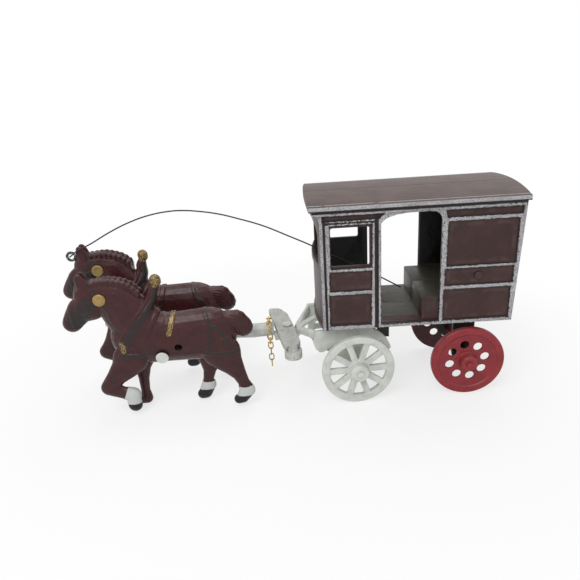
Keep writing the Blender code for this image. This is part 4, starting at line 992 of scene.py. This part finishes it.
def leg_marks(along, up, side):
    """Which points are white socks and which are black hooves."""
    shin = along > -113.2 + 0.42 * (up - 12.9)
    fore = (side < 0) & (along < FORE_LEG) & (up < FORE_SOCK_TOP)
    hind = (side < 0) & (along > HIND_LEG)
    far = (side > 0) & (along > FAR_HIND_LEG)
    socks = fore & shin & (up >= FORE_HOOF_TOP)
    socks |= ((hind & (up < HIND_SOCK_TOP)) | (far & (up < FAR_SOCK_TOP))) & (up >= HIND_HOOF_TOP)
    hooves = (fore & (up < FORE_HOOF_TOP)) | ((hind | far) & (up < HIND_HOOF_TOP))
    return socks, hooves


def vertex_places(obj):
    """The place of each point of a mesh, one row for each."""
    place = np.zeros(len(obj.data.vertices) * 3)
    obj.data.vertices.foreach_get("co", place)
    return place.reshape(-1, 3)


def move_vertices(obj, place):
    """Puts the points of a mesh at new places."""
    obj.data.vertices.foreach_set("co", place.ravel())
    obj.data.update()


print("socks end", FORE_SOCK_TOP, HIND_SOCK_TOP, FAR_SOCK_TOP, "mm up")

# %% Carving the figure
WORN_GILT = 0.52
BALL_GILT = 3.9
SOCK_RISE = 0.25
TAIL_RISE = 0.16
TAIL_WHORL = (-41.0, 53.0)


def carve(obj):
    """Raises the harness and the hair, and stores the marks for the paint."""
    place = vertex_places(obj)
    count = len(place)
    normal = np.zeros(count * 3)
    obj.data.vertex_normals.foreach_get("vector", normal)
    normal = normal.reshape(-1, 3)
    flat = place[:, [0, 2]]
    outer = smooth_step(normal[:, 1] * np.sign(place[:, 1]), 0.05, 0.35)
    rise = np.zeros(count)
    marks = {name: np.zeros(count) for name in ("harness_and_shade", "gilt", "sock", "hoof")}
    for paint, line, width, height in STRAPS:
        away = line_distance(flat, line)
        on = smooth_step(-away, -width / 2 - 0.25, -width / 2 + 0.25) * outer
        rise = np.where(np.abs(on * height) > np.abs(rise), on * height, rise)
        if paint == "harness_and_shade":
            marks["harness_and_shade"] = np.maximum(marks["harness_and_shade"], on)
        elif paint:
            marks["gilt"] = np.maximum(marks["gilt"], on * (WORN_GILT if paint == "worn gilt" else 1.0))
            marks["harness_and_shade"] *= 1 - on
    ball = line_distance(flat, STRAPS[-1][1]) < BALL_GILT
    marks["gilt"] = np.maximum(marks["gilt"], ball.astype(float))
    along, up = flat.T
    tail = smooth_step(along, -40.0, -36.0) * smooth_step(up, 47.0, 50.0)
    ring = np.hypot(along - TAIL_WHORL[0], up - TAIL_WHORL[1])
    waver = 1.5 * np.sin(up * 0.6) + 1.1 * np.sin(along * 0.8)
    rise += tail * TAIL_RISE * np.sin(ring * 3.3 + waver)
    sock, hoof = leg_marks(along, up, place[:, 1])
    marks["sock"] = sock.astype(float)
    marks["hoof"] = hoof.astype(float)
    rise += SOCK_RISE * marks["sock"]
    for name, values in marks.items():
        obj.data.attributes.new(name, "FLOAT", "POINT").data.foreach_set("value", values)
    move_vertices(obj, place + normal * rise[:, None])


carve(figure)
print("marks on the horse:", [mark.name for mark in figure.data.attributes if mark.data_type == "FLOAT"])

# %% [markdown]
# ## Enamel of the horses
# Brown enamel with a soft gloss covers everything. The harness is near black over it, the fittings
# are gilt, the socks white and the hooves black, all brushed by hand. The nostril and the mouth line
# are painted near black too, as painted shade in those hollows. Noise is added to each mark
# before it is cut off at a half, which makes the borders wander as a brush does.

# %% Horse enamel


def horse_paint():
    """Brown enamel with painted harness, gilt, socks and hooves, and painted shade in the nostril and the
    mouth line.
    """
    material, tree, shader = new_paint("horse_enamel")
    place = object_place(tree)
    wander = product(calc("SUBTRACT", noise(place, 1.2, 4.0, 0.7), 0.5), 0.9)
    patches = fade(noise(place, 6.0, 4.0), 0.35, 0.65)
    colours = blend(patches, (0.056, 0.0120, 0.0125), (0.040, 0.0102, 0.0108))
    worn = fade(noise(place, 1.6, 5.0, 0.75), 0.6, 0.78)
    colours = blend(product(worn, 0.3), colours, (0.14, 0.09, 0.085))
    gilt_chips = effect(tree, CHIPS, Size=0.8, Amount=0.75)
    gilt_tone = blend(gilt_chips, (0.37, 0.25, 0.09), (0.06, 0.04, 0.022))
    marked = {}
    # The harness mark also carries the painted shade of the nostril and the mouth line.
    for name, tone in (("harness_and_shade", (0.025, 0.0175, 0.016)), ("hoof", (0.010, 0.0095, 0.009)),
                       ("sock", (0.56, 0.58, 0.56)), ("gilt", gilt_tone)):
        mark = add_node(tree, "Attribute", attribute_name=name).outputs["Fac"]
        marked[name] = fade(calc("ADD", mark, wander), 0.42, 0.58)
        colours = blend(marked[name], colours, tone)
    colours = blend(effect(tree, DUST, Amount=0.12), colours, DUST_COLOUR)
    tree.links.new(product(marked["gilt"], 0.35), shader.inputs["Metallic"])
    skin = effect(tree, SKIN, Waves=1.0, Grain=1.1)
    finish_paint(shader, colours, calc("ADD", product(worn, 0.15), 0.24), 0.3, skin, 0.28)
    return material


horse_enamel = horse_paint()
print("horse enamel has", len(horse_enamel.node_tree.nodes), "nodes")

# %% [markdown]
# ## Holes and halves
# Each horse hangs on the cross rod by one of two round holes. They are cut by boolean cylinders,
# with a flat seat for the rod's head. Then the figure is sliced on its seam with a hair of room,
# so the joint line between the two castings shows on the back and the neck as on the real one.
# The far horse was bent a little at its post and its legs, so its copy is moved there by a few
# millimetres, with soft limits, rather than modelled a second time.

# %% Holes and halves
FRONT_HOLE = (-83.7, 44.6)
REAR_HOLE = (-72.1, 49.1)
HOLE_RADIUS = 2.5
HEAD_SEAT_RADIUS = 4.9
HEAD_SEAT = 8.4
SEAM = 0.15
BAR_FRONT, BAR_TOP = -80.0, 80.0
POST_FRONT, POST_REAR = -95.0, -90.5
POST_FOOT, POST_TOP, POST_BEND = 76.0, 92.0, 4.6
LEG_FOOT, LEG_TOP, LEG_BEND = 26.0, 46.0, 3.2
TEAM = [("near", near_horse_frame, FRONT_HOLE), ("far", far_horse_frame, REAR_HOLE)]


def round_cutter(spot, radius, low, high):
    """A cylinder across the horse between two offsets."""
    return settle(cylinder_across((spot[0], (low + high) / 2, spot[1]), radius, high - low, sides=40))


def half_of(obj, side):
    """The part of the figure on one side of the seam, closed by a flat face."""
    half = own_copy(obj)
    open_mesh(half)
    bpy.ops.mesh.bisect(plane_co=(0, side * SEAM, 0), plane_no=(0, -side, 0), use_fill=True, clear_outer=True)
    close_mesh()
    return half


def as_far_horse(obj):
    """The far horse's saddle bar has no gilt left, its post leans forward and its legs back."""
    place = vertex_places(obj)
    gilt = np.zeros(len(place))
    obj.data.attributes["gilt"].data.foreach_get("value", gilt)
    bar = (place[:, 0] > BAR_FRONT) & (place[:, 2] < BAR_TOP)
    obj.data.attributes["gilt"].data.foreach_set("value", np.where(bar, 0.0, gilt))
    post = smooth_step(place[:, 2], POST_FOOT, POST_TOP) * smooth_step(place[:, 0], POST_FRONT, POST_REAR)
    legs = 1 - smooth_step(place[:, 2], LEG_FOOT, LEG_TOP)
    place[:, 0] += LEG_BEND * legs - POST_BEND * post
    move_vertices(obj, place)
    return obj


cutters = [round_cutter(hole, HOLE_RADIUS, -THROUGH, THROUGH) for hole in (FRONT_HOLE, REAR_HOLE)]
cutters += [round_cutter(FRONT_HOLE, HEAD_SEAT_RADIUS, -THROUGH, -HEAD_SEAT)]
cut_away(figure, cutters)
halves = {"near": half_of(figure, -1), "far": half_of(figure, 1)}
bpy.data.objects.remove(figure)
for horse, place, hole in TEAM:
    shift = Matrix.Translation((-hole[0], 0, -hole[1]))
    for side, half in halves.items():
        casting = own_copy(half) if horse == "near" else as_far_horse(own_copy(half))
        install(casting, "%s_horse_%s_casting" % (horse, side), place @ shift, horse + "_horse",
                horse_enamel, "%s_horse_%s_half" % (horse, side))
for half in halves.values():
    bpy.data.objects.remove(half)

# %% [markdown]
# ## Rosettes
# A gilt rosette is the head of the rivet that holds the two halves of the head. It is a turned
# button with a raised edge and a domed middle, on both ends of a thin shank.

# %% Rosettes
ROSETTE = (-117.8, 85.1)
ROSETTE_RADIUS = 4.1
ROSETTE_SEAT = 5.8
rosette_profile = [(0.0, -ROSETTE_SEAT - 1.35), (3.2, -ROSETTE_SEAT - 1.2),
                   (ROSETTE_RADIUS, -ROSETTE_SEAT - 0.7), (ROSETTE_RADIUS, -ROSETTE_SEAT),
                   (1.2, -ROSETTE_SEAT + 0.1)]
rosette_profile += [(radius, -along) for radius, along in reversed(rosette_profile)]
rosette = round_off(turned(rosette_profile, steps=48), voxel=0.18, passes=2)
for horse, place, hole in TEAM:
    shift = Matrix.Translation((ROSETTE[0] - hole[0], 0, ROSETTE[1] - hole[1]))
    install(own_copy(rosette), horse + "_rosette", place @ shift, horse + "_horse", gilt_paint,
            horse + "_horse_rosette_rivet")
bpy.data.objects.remove(rosette)

# %% [markdown]
# ## Chain
# A link is a round wire bent to an oval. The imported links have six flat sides, so each copy is
# turned back into quads and subdivided twice, which makes the wire round without moving it.

# %% Chain
SAME_QUAD = math.radians(60)
hanging = [name for name in frame["nodes"] if name.startswith("hanging_link")]
chain_bodies = {"drawbar": [name for name in frame["nodes"] if name.startswith("loop_link")],
                "chain": hanging + ["chain_hook"]}
for body_name, names in chain_bodies.items():
    for name in names:
        link = casting_of(name)
        open_mesh(link)
        bpy.ops.mesh.tris_convert_to_quads(face_threshold=SAME_QUAD, shape_threshold=SAME_QUAD)
        close_mesh()
        apply_modifier(link, "SUBSURF", levels=2, render_levels=2)
        only(link)
        bpy.ops.object.shade_smooth()
        install(link, name + "_wire", WORLD, body_name, brass, name)

# %% [markdown]
# ## Rein and bridle loop
# The rein is one length of black wire that bows up from the far horse's head and down through
# the front window. A curve with a round bevel gives an even wire; its points are the ones that
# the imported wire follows. It is turned into a mesh so that it is kept like any other piece.

# %% Rein and loop
REIN_RADIUS = 0.48
REIN_ROUTE = [
    (-173.2, 11.3, 99.8), (-165.0, 7.1, 105.6), (-156.6, 6.3, 109.2), (-140.9, 7.6, 117.0),
    (-127.2, 7.3, 122.8), (-113.0, 7.0, 127.0), (-98.3, 6.5, 129.1), (-89.8, 6.1, 129.2),
    (-79.5, 5.6, 128.2), (-65.5, 4.9, 125.6),
    (-51.7, 4.1, 121.5), (-36.6, 3.3, 116.2), (-20.3, 2.4, 108.5), (-3.1, 1.7, 99.9), (9.6, 1.8, 92.6),
    (27.4, 2.3, 83.0), (42.8, 2.7, 74.2), (52.3, 2.9, 68.4), (56.9, 3.0, 65.6)]
LOOP_PLACE = (-64.3, 45.0)
LOOP_RADIUS = 2.8
LOOP_WIRE = 0.95
LOOP_POINTS = 8


def bent_wire(points, radius, closed=False):
    """A round wire through points, as a mesh in millimetres."""
    curve = bpy.data.curves.new("wire", "CURVE")
    curve.dimensions = "3D"
    curve.bevel_depth = radius
    curve.bevel_resolution = 4
    curve.resolution_u = 8
    curve.use_fill_caps = True
    spline = curve.splines.new("BEZIER")
    spline.bezier_points.add(len(points) - 1)
    for knot, point in zip(spline.bezier_points, points):
        knot.co = point
        knot.handle_left_type = knot.handle_right_type = "AUTO"
    spline.use_cyclic_u = closed
    only(new_object("wire", curve))
    bpy.ops.object.convert(target="MESH")
    bpy.ops.object.shade_smooth_by_angle(angle=math.radians(50))
    return bpy.context.object


rein = bent_wire(REIN_ROUTE, REIN_RADIUS)
install(rein, "rein", wagon_frame, "drawbar", iron_paint, "rein_wire")
ring = []
for number in range(LOOP_POINTS):
    turn = 2 * math.pi * number / LOOP_POINTS
    forward, rise = LOOP_RADIUS * math.cos(turn), LOOP_RADIUS * math.sin(turn)
    ring.append((LOOP_PLACE[0] + forward, 0, LOOP_PLACE[1] + rise))
install(bent_wire(ring, LOOP_WIRE, True), "bridle_ring", far_horse_frame, "far_horse", bridle_paint,
        "bridle_loop")

# %% [markdown]
# ## Floor and light
# The picture was taken on white with very soft light. The floor is white and keeps a faint
# shadow; far from the toy it fades into a plain white glow that only the camera and reflections
# see, so there is no horizon. One broad lamp from the upper front gives the glints on the enamel.

# %% Floor
FLOOR_SIZE = 6.0
FLOOR_GLOW = 0.7
GLOW_START, GLOW_FULL = 0.16, 0.32


def seen_rays(tree):
    """One for the camera, reflections and glass, which see the plain white background."""
    rays = add_node(tree, "LightPath").outputs
    mirrored = calc("MAXIMUM", rays["Is Glossy Ray"], rays["Is Transmission Ray"])
    return calc("MAXIMUM", rays["Is Camera Ray"], mirrored)


clear_selection()
bpy.ops.mesh.primitive_plane_add(size=FLOOR_SIZE, location=(0, 0, -0.0002))
floor = settle(bpy.context.object)
floor.name = "floor"
floor_material, floor_tree, floor_shader = new_paint("floor_white")
floor_shader.inputs["Base Color"].default_value = (0.92, 0.92, 0.92, 1.0)
floor_shader.inputs["Roughness"].default_value = 0.9
floor_shader.inputs["Specular IOR Level"].default_value = 0.0
glow = add_node(floor_tree, "Emission", {"Color": (1.0, 1.0, 1.0, 1.0), "Strength": 1.0})
length = add_node(floor_tree, "VectorMath", {0: object_place(floor_tree)}, operation="LENGTH")
further = product(fade(length.outputs["Value"], GLOW_START, GLOW_FULL), 1 - FLOOR_GLOW)
share = product(seen_rays(floor_tree), calc("ADD", FLOOR_GLOW, further))
shaders = {0: share, 1: floor_shader.outputs[0], 2: glow.outputs[0]}
mixed = add_node(floor_tree, "MixShader", shaders)
floor_tree.links.new(mixed.outputs[0], floor_tree.nodes["Material Output"].inputs["Surface"])
floor.data.materials.append(floor_material)
print("floor", FLOOR_SIZE, "m wide")

# %% Light
WORLD_LIGHT = 0.52
LAMP_AIM = Vector((0.0, 0.0, 0.06))
world = bpy.data.worlds.new("studio")
bpy.context.scene.world = world
world.use_nodes = True
sky = world.node_tree
backdrop = sky.nodes["Background"]
whiter = product(seen_rays(sky), 1.0 - WORLD_LIGHT)
sky.links.new(calc("ADD", whiter, WORLD_LIGHT), backdrop.inputs["Strength"])
backdrop.inputs["Color"].default_value = (1.0, 1.0, 1.0, 1.0)


def softbox(name, place, size, power):
    """A square lamp that looks at the toy's middle."""
    lamp = bpy.data.lights.new(name, "AREA")
    lamp.size = size
    lamp.energy = power
    obj = new_object(name, lamp)
    obj.location = place
    obj.rotation_euler = (LAMP_AIM - Vector(place)).to_track_quat("-Z", "Y").to_euler()


softbox("key", (-0.35, -0.75, 1.0), size=0.7, power=7.0)
softbox("top", (0.2, 0.35, 1.2), size=0.9, power=4.0)
bpy.context.scene.view_settings.view_transform = "Standard"
print("two lamps over a white floor")
